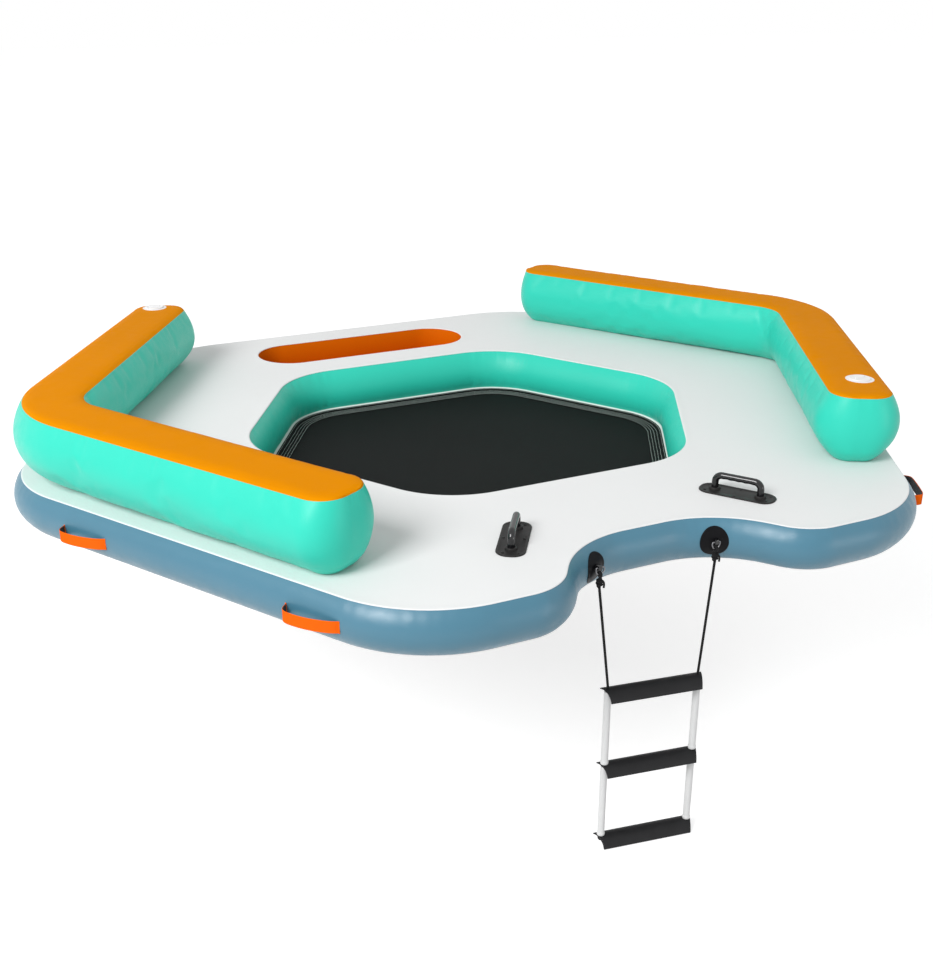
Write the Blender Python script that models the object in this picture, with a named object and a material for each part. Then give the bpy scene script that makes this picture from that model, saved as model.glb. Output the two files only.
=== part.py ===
"""Inflatable swim platform: a hexagonal air deck with a netted foot well, two backrests and a rope ladder.

Metres, +Z up. The origin is the centre of the deck's underside, where the water holds the deck up.
The ladder side, with its rounded recess, faces -Y. The backrests wrap the corners at -X and +X.
"""

import math

import bpy
from mathutils import Matrix, Vector
from mathutils.geometry import tessellate_polygon

# Clearances and cuts
fit_gap = 0.0003
cut_overrun = 0.010
skin_thickness = 0.0012
smooth_angle = math.radians(32)

# Deck plan: distances from the origin to each straight side, and the corner roundings
deck_height = 0.150
slanted_side_apothem = 1.600
front_side_apothem = 1.570
back_side_apothem = 1.450
end_corner_radius = 0.430
front_corner_radius = 0.450
back_corner_radius = 0.560
side_bulge = 0.034
side_slope = math.radians(30)

# Boarding recess in the front side
recess_mouth_half_width = 0.460
recess_floor_half_width = 0.270
recess_depth = 0.272
recess_mouth_radius = 0.190
recess_floor_radius = 0.370

# Foot well, its white flange and its net. A rim is the deck's width between its side and the well.
well_slanted_rim = 0.744
well_front_rim = 0.741
well_back_rim = 0.651
well_corner_radius = 0.340
well_bulge = 0.030
well_lean = 0.038
well_skirt_drop = 0.020
flange_lap = 0.005
flange_width = 0.026
flange_drop = 0.017
flange_thickness = 0.0015
net_lap = 0.030
net_set_back = 0.003
net_thickness = 0.002
net_pitch = 0.140
net_strand = 0.024
net_border_width = 0.040
net_border_thickness = 0.0015

# Drinks trough behind the well: its margins run from the deck's back and slanted sides
trough_width = 0.335
trough_back_margin = 0.150
trough_left_margin = 0.624
trough_right_margin = 0.724
trough_bulge = 0.012
trough_liner_thickness = 0.0015

# Backrests
backrest_height = 0.256
backrest_edge_set_back = 0.031
backrest_top_width = 0.228
backrest_left_front_leg = 1.488
backrest_right_front_leg = 1.446
backrest_back_leg = 1.552
backrest_back_shift = 0.018
backrest_outer_corner_radius = 0.500
backrest_inner_corner_radius = 0.170
backrest_end_radius = 0.090
backrest_bulge = 0.040
backrest_base_tuck = 0.080
backrest_crown = 0.010
backrest_crown_run = 0.034
# Shares of the bulge and the tuck that are left at the ends, lengthways and sideways
backrest_end_bulge_shares = (0.40, 1.00)
backrest_end_tuck_shares = (0.55, 0.60)
# Each row: share of the height, share of the tuck at the foot, share of the side bulge
backrest_side_shares = (
    (0.00, 1.00, 0.00),
    (0.045, 0.68, 0.00),
    (0.105, 0.34, 0.00),
    (0.195, 0.00, 0.05),
    (0.33, 0.00, 0.64),
    (0.50, 0.00, 1.00),
    (0.66, 0.00, 0.86),
    (0.83, 0.00, 0.52),
    (1.00, 0.00, 0.00),
)

# Air valves, one in each backrest and one under the deck
valve_flange_radius = 0.053
valve_flange_thickness = 0.003
valve_edge_bevel = 0.001
valve_body_radius = 0.019
valve_body_depth = 0.036
valve_bore_radius = 0.0145
valve_seat_radius = 0.008
valve_seat_thickness = 0.003
valve_room = 0.004
valve_plunger_radius = 0.0055
valve_plunger_head_radius = 0.011
valve_plunger_head_thickness = 0.003
valve_plunger_disc_radius = 0.0115
valve_plunger_disc_thickness = 0.0025
valve_plunger_stroke = 0.006
valve_spring_room = 0.009
valve_cap_radius = 0.040
valve_cap_thickness = 0.004
valve_plug_clearance = 0.0005
valve_plug_depth = 0.008
valve_lug_length = 0.046
valve_lug_width = 0.007
valve_lug_height = 0.004
valve_lug_sink = 0.001
left_valve_from_end = 0.075
right_valve_from_end = 0.208
valve_off_middle = 0.022
deck_valve_from_side = 0.432
deck_valve_from_back = 0.350

# Grab handles beside the recess
grab_centre_x = 0.436
grab_from_front = 0.361
grab_turn = math.radians(56)
grab_plate_length = 0.270
grab_plate_width = 0.096
grab_plate_corner = 0.042
grab_plate_thickness = 0.004
grab_plate_bevel = 0.001
grab_leg_spacing = 0.163
grab_height = 0.068
grab_diameter = 0.024
grab_bend_radius = 0.024
grab_boss_radius = 0.019
grab_boss_height = 0.007
grab_boss_sink = 0.001

# Carry straps on the slanted front sides
strap_length = 0.209
strap_width = 0.040
strap_thickness = 0.0016
strap_lining_thickness = 0.0014
strap_lining_inset = 0.004
strap_stand_off = 0.042
strap_tab_length = 0.006
strap_front_place = 0.546
strap_back_place = 0.457
strap_drop = 0.005
# Each point of the arch: share of its length, share of its stand-off
strap_arch_shares = (
    (0.00, 0.00),
    (0.03, 0.50),
    (0.08, 0.78),
    (0.17, 0.93),
    (0.32, 0.99),
    (0.50, 1.00),
    (0.68, 0.99),
    (0.83, 0.93),
    (0.92, 0.78),
    (0.97, 0.50),
    (1.00, 0.00),
)

# Ladder rings and the patches that hold them
ring_patch_radius = 0.053
ring_patch_drop = 0.001
ring_patch_thickness = 0.002
patch_angles = (-75, -50, -25, 0, 25, 50, 75)
ring_bar_rise = 0.009
ring_stand_off = 0.016
ring_wire_diameter = 0.005
ring_inner_width = 0.026
ring_drop = 0.024
ring_corner_radius = 0.004
ring_play = 0.0005
keeper_width = 0.016
keeper_root = 0.014
keeper_height = 0.015
keeper_front = 0.006

# Ladder
rope_diameter = 0.009
eye_slack = 0.0008
knot_radius = 0.014
knot_length = 0.034
knot_end_share = 0.17
ladder_turn = math.radians(-9)
ladder_offset_x = 0.015
ladder_set_back = 0.0093
rung_length = 0.372
rung_chord = 0.068
rung_half_angle = math.radians(55)
rung_lean = math.radians(28)
rung_wall = 0.004
rung_end_set_back = 0.020
rung_hole_spacing = 0.330
top_rung_z = -0.396
rung_spacing = 0.297
rung_count = 3
spacer_diameter = 0.025
spacer_wall = 0.002
spacer_head_room = 0.007
spacer_collar = 0.0015
spacer_collar_height = 0.010
stopper_radius = 0.011
stopper_length = 0.018
# Along the end knot: share of its length, share of its radius
stopper_shares = ((0.02, 0.75), (0.2, 1.0), (0.7, 1.0), (0.95, 0.7), (1.0, 0.35))

# The most that two neighbouring corner arcs may take of the side between them
corner_room_share = 0.98

# How finely round shapes are divided
corner_segments = 6
recess_mouth_segments = 4
recess_floor_segments = 3
well_segments = 5
trough_segments = 8
end_segments = 4
bulge_bands = 5
trough_bands = 3
crown_bands = 3
rung_bands = 8
bend_steps = 5
ring_steps = 8
ring_corner_steps = 2
eye_steps = 14
knot_bands = 5
free_rope_steps = 18
valve_sides = 20
round_sides = 20
small_round_sides = 16
tube_sides = 12
ball_angles = [math.radians(angle) for angle in (78, 54, 27)]

sides = ((-1, "left"), (1, "right"))
square_signs = ((-1, -1), (1, -1), (1, 1), (-1, 1))
# The deck's outline runs round five corners, the recess and the last corner
deck_segments = [corner_segments] * 5 + [recess_mouth_segments] + [recess_floor_segments] * 2
deck_segments += [recess_mouth_segments, corner_segments]
recess_floor_corners = {-1: 6, 1: 7}


def clear_scene():
    for item in list(bpy.data.objects):
        bpy.data.objects.remove(item, do_unlink=True)


def make_material(name, colour, roughness, metallic=0.0):
    material = bpy.data.materials.new(name)
    material.use_nodes = True
    shader = material.node_tree.nodes["Principled BSDF"]
    shader.inputs["Base Color"].default_value = (*colour, 1.0)
    shader.inputs["Roughness"].default_value = roughness
    shader.inputs["Metallic"].default_value = metallic
    return material


def add_object(name, mesh, material, smooth=True):
    """A named object for one piece, shaded smooth between its sharp edges."""
    item = bpy.data.objects.new(name, mesh)
    bpy.context.scene.collection.objects.link(item)
    if material:
        mesh.materials.append(material)
    if smooth:
        mesh.shade_smooth()
        mesh.set_sharp_from_angle(angle=smooth_angle)
    return item


def mesh_from(name, points, faces):
    mesh = bpy.data.meshes.new(name)
    mesh.from_pydata([tuple(point) for point in points], [], faces)
    mesh.update()
    return mesh


def cut(item, cutter, operation="DIFFERENCE"):
    """Cuts item with a hidden helper object."""
    cutter.hide_render = True
    cutter.display_type = "WIRE"
    modifier = item.modifiers.new(cutter.name, "BOOLEAN")
    modifier.operation = operation
    modifier.object = cutter


def rounded_outline(corners, radii, segments):
    """Stations (point, outward normal) round a closed anticlockwise outline whose corners are arcs."""
    stations = []
    count = len(corners)
    bends = []
    for index, corner in enumerate(corners):
        before = (corners[index - 1] - corner).normalized()
        after = (corners[(index + 1) % count] - corner).normalized()
        bends.append((before, after, (math.pi - before.angle(after)) / 2))
    reaches = [radius * math.tan(bend[2]) for radius, bend in zip(radii, bends)]
    for index, corner in enumerate(corners):
        before, after, half_turn = bends[index]
        convex = before.x * after.y - before.y * after.x < 0
        fits = [1.0]
        for other in (index - 1, (index + 1) % count):
            room = (corners[other] - corner).length * corner_room_share
            fits.append(room / (reaches[index] + reaches[other]))
        radius = radii[index] * min(fits)
        centre = corner + (before + after).normalized() * (radius / math.cos(half_turn))
        start = (corner + before * (radius * math.tan(half_turn)) - centre) / radius
        turn = 2 * half_turn if convex else -2 * half_turn
        for step in range(segments[index] + 1):
            angle = turn * step / segments[index]
            ray = Matrix.Rotation(angle, 2) @ start
            stations.append((centre + ray * radius, ray if convex else -ray))
    return stations


def station_between(first, second, share):
    return tuple(a.lerp(b, share) for a, b in zip(first, second))


def lift(stations, out, z):
    """The outline pushed outwards by out, at height z."""
    loop = []
    for point, normal in stations:
        flat = point + normal * out
        loop.append(Vector((flat.x, flat.y, z)))
    return loop


def bridge_faces(first, second, count, inward):
    """Quads between two loops of count points whose indices start at first and second."""
    faces = []
    for index in range(count):
        after = (index + 1) % count
        quad = (first + index, first + after, second + after, second + index)
        faces.append(quad[::-1] if inward else quad)
    return faces


def slab_mesh(name, outer_rows, hole_rows=()):
    """A plate with shaped edges: rows of loops from bottom to top, outside and round each hole."""
    points = []
    faces = []
    caps = ([], [])
    for rows, inward in [(outer_rows, False)] + [(rows, True) for rows in hole_rows]:
        count = len(rows[0])
        starts = []
        for row in rows:
            starts.append(len(points))
            points.extend(row)
        for low, high in zip(starts, starts[1:]):
            faces.extend(bridge_faces(low, high, count, inward))
        for cap, start in zip(caps, (starts[0], starts[-1])):
            cap.append(range(start, start + count))
    for cap, upward in zip(caps, (False, True)):
        loops = [[points[index] for index in loop] for loop in cap]
        flat = [index for loop in cap for index in loop]
        for triangle in tessellate_polygon(loops):
            corners = [flat[index] for index in triangle]
            a, b, c = (points[index] for index in corners)
            if ((b - a).cross(c - a).z > 0) != upward:
                corners.reverse()
            faces.append(corners)
    return mesh_from(name, points, faces)


def band_mesh(name, stations, profile, inward=False):
    """A closed (out, z) profile carried all the way round an outline."""
    points = []
    for out, z in profile:
        points.extend(lift(stations, out, z))
    count = len(stations)
    faces = []
    for index in range(len(profile)):
        after = (index + 1) % len(profile)
        faces.extend(bridge_faces(index * count, after * count, count, inward))
    return mesh_from(name, points, faces)


def strip_mesh(name, sections):
    """A solid through a row of closed sections of equal point count, capped at both ends."""
    count = len(sections[0])
    points = [point for section in sections for point in section]
    faces = []
    for index in range(len(sections) - 1):
        faces.extend(bridge_faces(index * count, (index + 1) * count, count, False))
    faces.append(tuple(range(count))[::-1])
    last = (len(sections) - 1) * count
    faces.append(tuple(range(last, last + count)))
    return mesh_from(name, points, faces)


def turned_mesh(name, profile, sides):
    """A solid of revolution about Z from (radius, z) points, listed upwards on the outside."""
    points = []
    faces = []
    starts = []
    for radius, z in profile:
        starts.append((len(points), radius == 0))
        for side in range(1 if radius == 0 else sides):
            angle = 2 * math.pi * side / sides
            points.append(Vector((radius * math.cos(angle), radius * math.sin(angle), z)))
    closed = profile[0][0] != 0
    pairs = list(zip(starts, starts[1:]))
    if closed:
        pairs.append((starts[-1], starts[0]))
    for (low, low_pole), (high, high_pole) in pairs:
        for side in range(sides):
            after = (side + 1) % sides
            if low_pole:
                faces.append((low, high + after, high + side))
            elif high_pole:
                faces.append((low + side, low + after, high))
            else:
                faces.append((low + side, low + after, high + after, high + side))
    return mesh_from(name, points, faces)


def cylinder_cutter(name, radius, low, high, placement):
    profile = [(0, low), (radius, low), (radius, high), (0, high)]
    item = add_object(name, turned_mesh(name, profile, round_sides), None, smooth=False)
    item.matrix_world = placement
    return item


def arc_rows(height_low, height_high, sagitta, bands):
    """(out, z) rows of a circular bulge between two heights."""
    half = (height_high - height_low) / 2
    middle = (height_high + height_low) / 2
    radius = (half ** 2 + sagitta ** 2) / (2 * sagitta)
    widest = math.asin(half / radius)
    rows = []
    for band in range(bands + 1):
        angle = widest * (2 * band / bands - 1)
        rows.append((radius * math.cos(angle) - radius + sagitta, middle + radius * math.sin(angle)))
    return rows


def out_at(rows, z):
    """How far a bulge stands out at height z, on its straight facets."""
    for (out_low, z_low), (out_high, z_high) in zip(rows, rows[1:]):
        if z <= z_high:
            return out_low + (out_high - out_low) * (z - z_low) / (z_high - z_low)
    return rows[-1][0]


def tube_curve(name, points, radius_shares, diameter, material, cyclic=False, resolution=2):
    """A round rod or rope through its points, with a share of the full radius at each."""
    curve = bpy.data.curves.new(name, "CURVE")
    curve.dimensions = "3D"
    curve.bevel_depth = diameter / 2
    curve.bevel_resolution = resolution
    curve.use_fill_caps = not cyclic
    spline = curve.splines.new("POLY")
    spline.points.add(len(points) - 1)
    for target, point, share in zip(spline.points, points, radius_shares):
        target.co = (*point, 1.0)
        target.radius = share
    spline.use_cyclic_u = cyclic
    spline.use_smooth = True
    curve.materials.append(material)
    item = bpy.data.objects.new(name, curve)
    bpy.context.scene.collection.objects.link(item)
    return item


def rope_piece(name, points, radius_shares, material, round_end=True):
    """A rope whose ends are balls about its first and last points, so that it can pivot there."""
    radius = rope_diameter / 2
    start_along = (points[1] - points[0]).normalized()
    end_along = (points[-1] - points[-2]).normalized()
    before = [points[0] - start_along * (radius * math.sin(angle)) for angle in ball_angles]
    shares = [math.cos(angle) for angle in ball_angles]
    all_points = before + points
    all_shares = shares + radius_shares
    if round_end:
        all_points += [points[-1] + end_along * (radius * math.sin(angle)) for angle in ball_angles[::-1]]
        all_shares += shares[::-1]
    return tube_curve(name, all_points, all_shares, rope_diameter, material, resolution=3)


# Materials
white_pvc = make_material("white_pvc", (0.80, 0.80, 0.80), 0.42)
blue_pvc = make_material("blue_pvc", (0.085, 0.215, 0.330), 0.38)
teal_pvc = make_material("teal_pvc", (0.030, 0.640, 0.460), 0.36)
orange_pvc = make_material("orange_pvc", (0.790, 0.245, 0.004), 0.40)
trough_pvc = make_material("trough_pvc", (0.600, 0.115, 0.002), 0.42)
black_net = make_material("black_net", (0.015, 0.015, 0.016), 0.80)
black_webbing = make_material("black_webbing", (0.012, 0.012, 0.013), 0.85)
orange_webbing = make_material("orange_webbing", (0.940, 0.165, 0.020), 0.75)
black_plastic = make_material("black_plastic", (0.018, 0.018, 0.019), 0.38)
black_rubber = make_material("black_rubber", (0.010, 0.010, 0.011), 0.55)
steel = make_material("steel", (0.620, 0.620, 0.630), 0.25, 1.0)
black_rope = make_material("black_rope", (0.010, 0.010, 0.010), 0.80)
white_plastic = make_material("white_plastic", (0.740, 0.740, 0.735), 0.35)
air_core = make_material("air_core", (0.500, 0.520, 0.540), 0.70)


def side_crossing(first, second):
    """Where two straight sides meet, each given as (direction angle of its normal, apothem)."""
    (angle_a, apothem_a), (angle_b, apothem_b) = first, second
    matrix = Matrix(((math.cos(angle_a), math.sin(angle_a)), (math.cos(angle_b), math.sin(angle_b))))
    return matrix.inverted() @ Vector((apothem_a, apothem_b))


def hexagon_sides(slanted, front, back):
    """The sides from the one right of the front, anticlockwise: direction of the normal, apothem."""
    return [
        (-side_slope, slanted),
        (side_slope, slanted),
        (math.pi / 2, back),
        (math.pi - side_slope, slanted),
        (math.pi + side_slope, slanted),
        (-math.pi / 2, front),
    ]


def hexagon_corners(slanted, front, back):
    """Corners from +X round anticlockwise."""
    lines = hexagon_sides(slanted, front, back)
    return [side_crossing(line, lines[(index + 1) % len(lines)]) for index, line in enumerate(lines)]


def slanted_side_x(y):
    """How far from the middle the slanted sides lie at this distance forwards or backwards."""
    return (slanted_side_apothem - abs(y) * math.sin(side_slope)) / math.cos(side_slope)


def deck_outline():
    right, back_right, back_left, left, front_left, front_right = hexagon_corners(
        slanted_side_apothem, front_side_apothem, back_side_apothem
    )
    floor_y = recess_depth - front_side_apothem
    corners = [
        right,
        back_right,
        back_left,
        left,
        front_left,
        Vector((-recess_mouth_half_width, -front_side_apothem)),
        Vector((-recess_floor_half_width, floor_y)),
        Vector((recess_floor_half_width, floor_y)),
        Vector((recess_mouth_half_width, -front_side_apothem)),
        front_right,
    ]
    radii = [
        end_corner_radius,
        back_corner_radius,
        back_corner_radius,
        end_corner_radius,
        front_corner_radius,
        recess_mouth_radius,
        recess_floor_radius,
        recess_floor_radius,
        recess_mouth_radius,
        front_corner_radius,
    ]
    return rounded_outline(corners, radii, deck_segments)


def well_outline():
    corners = hexagon_corners(*well_apothems)
    return rounded_outline(corners, [well_corner_radius] * 6, [well_segments] * 6)


def trough_outline():
    radius = trough_width / 2
    middle_y = back_side_apothem - trough_back_margin - radius
    stations = []
    ends = ((1, -math.pi / 2, trough_right_margin), (-1, math.pi / 2, trough_left_margin))
    for side, first_angle, margin in ends:
        centre = Vector((side * (slanted_side_x(middle_y) - margin - radius), middle_y))
        for step in range(trough_segments + 1):
            angle = first_angle + math.pi * step / trough_segments
            ray = Vector((math.cos(angle), math.sin(angle)))
            stations.append((centre + ray * radius, ray))
    return stations


well_apothems = (
    slanted_side_apothem - well_slanted_rim,
    front_side_apothem - well_front_rim,
    back_side_apothem - well_back_rim,
)
deck_stations = deck_outline()
well_stations = well_outline()
trough_stations = trough_outline()
skin_seat = skin_thickness + fit_gap
side_low = skin_seat
side_high = deck_height - skin_seat
side_rows = arc_rows(side_low, side_high, side_bulge, bulge_bands)
trough_rows = arc_rows(side_low, side_high, trough_bulge, trough_bands)
flange_top = -well_skirt_drop - fit_gap
landing_top = flange_top - flange_drop
net_bottom = landing_top + fit_gap
net_edge = -well_lean - flange_width - net_set_back


def well_wall_rows():
    """(out, z) rows of the well's wall, which bulges into the well and leans in towards the net."""
    rows = arc_rows(-well_skirt_drop, side_high, well_bulge, bulge_bands)
    span = side_high + well_skirt_drop
    return [(out + well_lean * (side_high - z) / span, z) for out, z in rows]


well_rows = well_wall_rows()


def build_deck():
    """Air core, skins, side wall and the liners of the well and the trough."""
    well_heights = [side_low] + [z for _, z in well_rows if z > side_low]
    core_sides = [lift(deck_stations, out - skin_seat, z) for out, z in side_rows]
    core_well = [lift(well_stations, skin_seat - out_at(well_rows, z), z) for z in well_heights]
    trough_seat = trough_liner_thickness + fit_gap
    core_trough = [lift(trough_stations, trough_seat - out, z) for out, z in trough_rows]
    core = add_object("deck_core", slab_mesh("deck_core", core_sides, [core_well, core_trough]), air_core)

    top_heights = (deck_height - skin_thickness, deck_height)
    top_outer = [lift(deck_stations, 0.0, z) for z in top_heights]
    top_well = [lift(well_stations, 0.0, z) for z in top_heights]
    top_trough = [lift(trough_stations, 0.0, z) for z in top_heights]
    top_mesh = slab_mesh("deck_top_skin", top_outer, [top_well, top_trough])
    add_object("deck_top_skin", top_mesh, white_pvc)

    bottom_heights = (0.0, skin_thickness)
    bottom_outer = [lift(deck_stations, 0.0, z) for z in bottom_heights]
    bottom_well = [lift(well_stations, skin_seat - out_at(well_rows, 0.0), z) for z in bottom_heights]
    bottom = add_object(
        "deck_bottom_skin", slab_mesh("deck_bottom_skin", bottom_outer, [bottom_well]), white_pvc
    )

    side_mesh = band_mesh("outer_side_wall", deck_stations, skin_profile(side_rows))
    add_object("outer_side_wall", side_mesh, blue_pvc)
    well_face = [(-out, z) for out, z in well_rows]
    well_profile = well_face + [(out + skin_thickness, z) for out, z in well_face[::-1]]
    add_object("well_wall", band_mesh("well_wall", well_stations, well_profile, inward=True), teal_pvc)

    outside = [lift(trough_stations, trough_liner_thickness - out, z) for out, z in trough_rows]
    inside = [lift(trough_stations, -out, z) for out, z in trough_rows[::-1]]
    floor = lift(trough_stations, 0.0, side_low + trough_liner_thickness)
    liner = strip_mesh("trough_liner", outside + inside[:-1] + [floor])
    add_object("trough_liner", liner, trough_pvc)
    return core, bottom


def skin_profile(rows):
    """A closed profile for a skin whose outer face has these rows."""
    return rows + [(out - skin_thickness, z) for out, z in rows[::-1]]


def build_well_floor():
    """The white flange under the well's wall, and the net with its black border."""
    flange_face = [
        (-well_lean + flange_lap, flange_top),
        (-well_lean, flange_top),
        (-well_lean - flange_width, landing_top),
        (-well_lean - flange_width - net_lap, landing_top),
    ]
    underside = [(out, z - flange_thickness) for out, z in flange_face]
    profile = underside[::-1] + flange_face
    add_object("well_flange", band_mesh("well_flange", well_stations, profile), white_pvc)

    heights = (net_bottom, net_bottom + net_thickness)
    outer = [lift(well_stations, net_edge, z) for z in heights]
    net = add_object("well_net", slab_mesh("well_net", outer), black_net, smooth=False)
    cut(net, add_object("net_gaps", net_gaps_mesh(), None, smooth=False))

    border_bottom = heights[1] + fit_gap
    border_top = border_bottom + net_border_thickness
    inner_edge = net_edge - net_border_width
    border = [
        (inner_edge, border_bottom),
        (net_edge, border_bottom),
        (net_edge, border_top),
        (inner_edge, border_top),
    ]
    add_object("net_border", band_mesh("net_border", well_stations, border), black_webbing)


def net_gaps_mesh():
    """Square prisms through the net, wherever a whole gap lies inside the border."""
    reach = int(max(well_apothems) / net_pitch) + 1
    half_gap = (net_pitch - net_strand) / 2
    low = net_bottom - cut_overrun
    high = net_bottom + net_thickness + cut_overrun
    points = []
    faces = []
    for column in range(-reach, reach + 1):
        for row in range(-reach, reach + 1):
            centre = Vector((column, row)) * net_pitch
            if not inside_well(centre, half_gap * math.sqrt(2)):
                continue
            first = len(points)
            for z in (low, high):
                for x, y in square_signs:
                    points.append(Vector((centre.x + half_gap * x, centre.y + half_gap * y, z)))
            faces += bridge_faces(first, first + 4, 4, False)
            faces += [(first + 3, first + 2, first + 1, first), (first + 4, first + 5, first + 6, first + 7)]
    return mesh_from("net_gaps", points, faces)


def inside_well(centre, reach):
    """Whether a gap of the net with this reach lies clear inside the net's border."""
    room = net_edge - net_border_width - net_strand - reach
    return all(
        centre.x * math.cos(angle) + centre.y * math.sin(angle) < apothem + room
        for angle, apothem in hexagon_sides(*well_apothems)
    )


# Backrests. Each leg's end is a distance along its side from the deck's sharp corner.
backrest_outer_apothem = slanted_side_apothem - backrest_edge_set_back
backrest_inner_apothem = backrest_outer_apothem - backrest_top_width
corner_reach = slanted_side_apothem * math.tan(side_slope)
backrest_foot = deck_height + fit_gap
backrest_front_legs = {-1: backrest_left_front_leg, 1: backrest_right_front_leg}
panel_edge_top = backrest_foot + backrest_height
bladder_edge_top = panel_edge_top - skin_seat


def leg_point(side, front, apothem, along):
    """A plan point of a backrest's leg: apothem from the origin, along from the deck's sharp corner."""
    forward = -1 if front else 1
    normal = Vector((side * math.cos(side_slope), forward * math.sin(side_slope)))
    tangent = Vector((-side * math.sin(side_slope), forward * math.cos(side_slope)))
    return normal * apothem + tangent * (along - corner_reach)


def leg_corner(side, apothem):
    """Where the lines of the two legs meet; the back leg's line lies further out by the shift."""
    across = (apothem + backrest_back_shift / 2) / math.cos(side_slope)
    back = backrest_back_shift / 2 / math.sin(side_slope)
    return Vector((side * across, back))


def backrest_outline(side):
    outer = backrest_outer_apothem
    inner = backrest_inner_apothem
    corners = [
        leg_point(side, True, outer, backrest_front_legs[side]),
        leg_corner(side, outer),
        leg_point(side, False, outer + backrest_back_shift, backrest_back_leg),
        leg_point(side, False, inner + backrest_back_shift, backrest_back_leg),
        leg_corner(side, inner),
        leg_point(side, True, inner, backrest_front_legs[side]),
    ]
    radii = [
        backrest_end_radius,
        backrest_outer_corner_radius,
        backrest_end_radius,
        backrest_end_radius,
        backrest_inner_corner_radius,
        backrest_end_radius,
    ]
    segments = [end_segments, corner_segments, end_segments, end_segments, corner_segments, end_segments]
    if side < 0:
        corners.reverse()
        radii.reverse()
        segments.reverse()
    return rounded_outline(corners, radii, segments)


def eased_ends(stations, side, shares):
    """The stations with shorter normals at a backrest's two flat ends, by lengthways and sideways shares."""
    lengthways, sideways = shares
    eased = []
    for point, normal in stations:
        for forward, leg in ((-1, backrest_front_legs[side]), (1, backrest_back_leg)):
            tangent = Vector((-side * math.sin(side_slope), forward * math.cos(side_slope)))
            if point.dot(tangent) + corner_reach > leg - backrest_end_radius - fit_gap:
                along = tangent * normal.dot(tangent)
                normal = along * lengthways + (normal - along) * sideways
        eased.append((point, normal))
    return eased


def crown_rows(edge_height):
    """(out, z) rows from a panel's edge up its crown."""
    rows = []
    for step in range(crown_bands + 1):
        angle = math.pi / 2 * step / crown_bands
        out = backrest_crown_run * (math.cos(angle) - 1)
        rows.append((out, edge_height + backrest_crown * math.sin(angle)))
    return rows


def build_backrest(side, label):
    """An inflated bladder and its top panel; returns both for the valve's hole."""
    stations = backrest_outline(side)
    foot_stations = eased_ends(stations, side, backrest_end_tuck_shares)
    side_stations = eased_ends(stations, side, backrest_end_bulge_shares)
    loops = []
    for height_share, tuck_share, bulge_share in backrest_side_shares:
        out = backrest_bulge * bulge_share - backrest_base_tuck * tuck_share
        z = backrest_foot + (bladder_edge_top - backrest_foot) * height_share
        loops.append(lift(foot_stations if tuck_share else side_stations, out, z))
    loops += [lift(stations, out, z) for out, z in crown_rows(bladder_edge_top)[1:]]
    name = label + "_backrest_bladder"
    bladder = add_object(name, strip_mesh(name, loops), teal_pvc)

    name = label + "_backrest_top_panel"
    underside = crown_rows(panel_edge_top - skin_thickness)[::-1]
    top_face = crown_rows(panel_edge_top)
    mesh = strip_mesh(name, [lift(stations, out, z) for out, z in underside + top_face])
    panel = add_object(name, mesh, orange_pvc)
    return bladder, panel


def build_valve(label, placement, skin, chamber):
    """A valve set into a skin: body with flange, spring-loaded plunger and twist cap."""
    bore = valve_bore_radius
    seat_z = -valve_body_depth
    floor = seat_z + valve_seat_thickness
    profile = [
        (valve_body_radius, seat_z),
        (valve_body_radius, fit_gap),
        (valve_flange_radius, fit_gap),
        (valve_flange_radius - valve_edge_bevel, fit_gap + valve_flange_thickness),
        (bore, fit_gap + valve_flange_thickness),
        (bore, floor),
        (valve_seat_radius, floor),
        (valve_seat_radius, seat_z),
    ]
    name = label + "_valve_body"
    body = add_object(name, turned_mesh(name, profile, valve_sides), white_plastic)
    body.matrix_world = placement

    disc_top = seat_z - fit_gap
    disc_bottom = disc_top - valve_plunger_disc_thickness
    head_bottom = floor + valve_spring_room
    profile = [
        (0.0, disc_bottom),
        (valve_plunger_disc_radius, disc_bottom),
        (valve_plunger_disc_radius, disc_top),
        (valve_plunger_radius, disc_top),
        (valve_plunger_radius, head_bottom),
        (valve_plunger_head_radius, head_bottom),
        (valve_plunger_head_radius, head_bottom + valve_plunger_head_thickness),
        (0.0, head_bottom + valve_plunger_head_thickness),
    ]
    name = label + "_valve_plunger"
    plunger = add_object(name, turned_mesh(name, profile, small_round_sides), black_plastic)
    plunger.matrix_world = placement

    cap_bottom = fit_gap + valve_flange_thickness + fit_gap
    cap_top = cap_bottom + valve_cap_thickness
    plug = bore - valve_plug_clearance
    profile = [
        (0.0, -valve_plug_depth),
        (plug, -valve_plug_depth),
        (plug, cap_bottom),
        (valve_cap_radius, cap_bottom),
        (valve_cap_radius - valve_edge_bevel, cap_top),
        (0.0, cap_top),
    ]
    name = label + "_valve_cap"
    cap = add_object(name, turned_mesh(name, profile, valve_sides), white_plastic)
    cap.matrix_world = placement
    half = Vector((valve_lug_length, valve_lug_width)) / 2
    lug_heights = (cap_top - valve_lug_sink, cap_top + valve_lug_height)
    rows = [[Vector((half.x * x, half.y * y, z)) for x, y in square_signs] for z in lug_heights]
    lug = add_object(name + "_lug", strip_mesh(name + "_lug", rows), None, smooth=False)
    lug.matrix_world = placement
    cut(cap, lug, "UNION")

    hole_radius = valve_body_radius + fit_gap
    depth = disc_bottom - valve_plunger_stroke - valve_room
    cutter = cylinder_cutter(label + "_valve_hole", hole_radius, depth, cut_overrun, placement)
    cut(skin, cutter)
    cut(chamber, cutter)


def flat_placement(point, z, flip=False):
    turn = Matrix.Rotation(math.pi, 4, "X") if flip else Matrix.Identity(4)
    return Matrix.Translation(Vector((point.x, point.y, z))) @ turn


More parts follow.
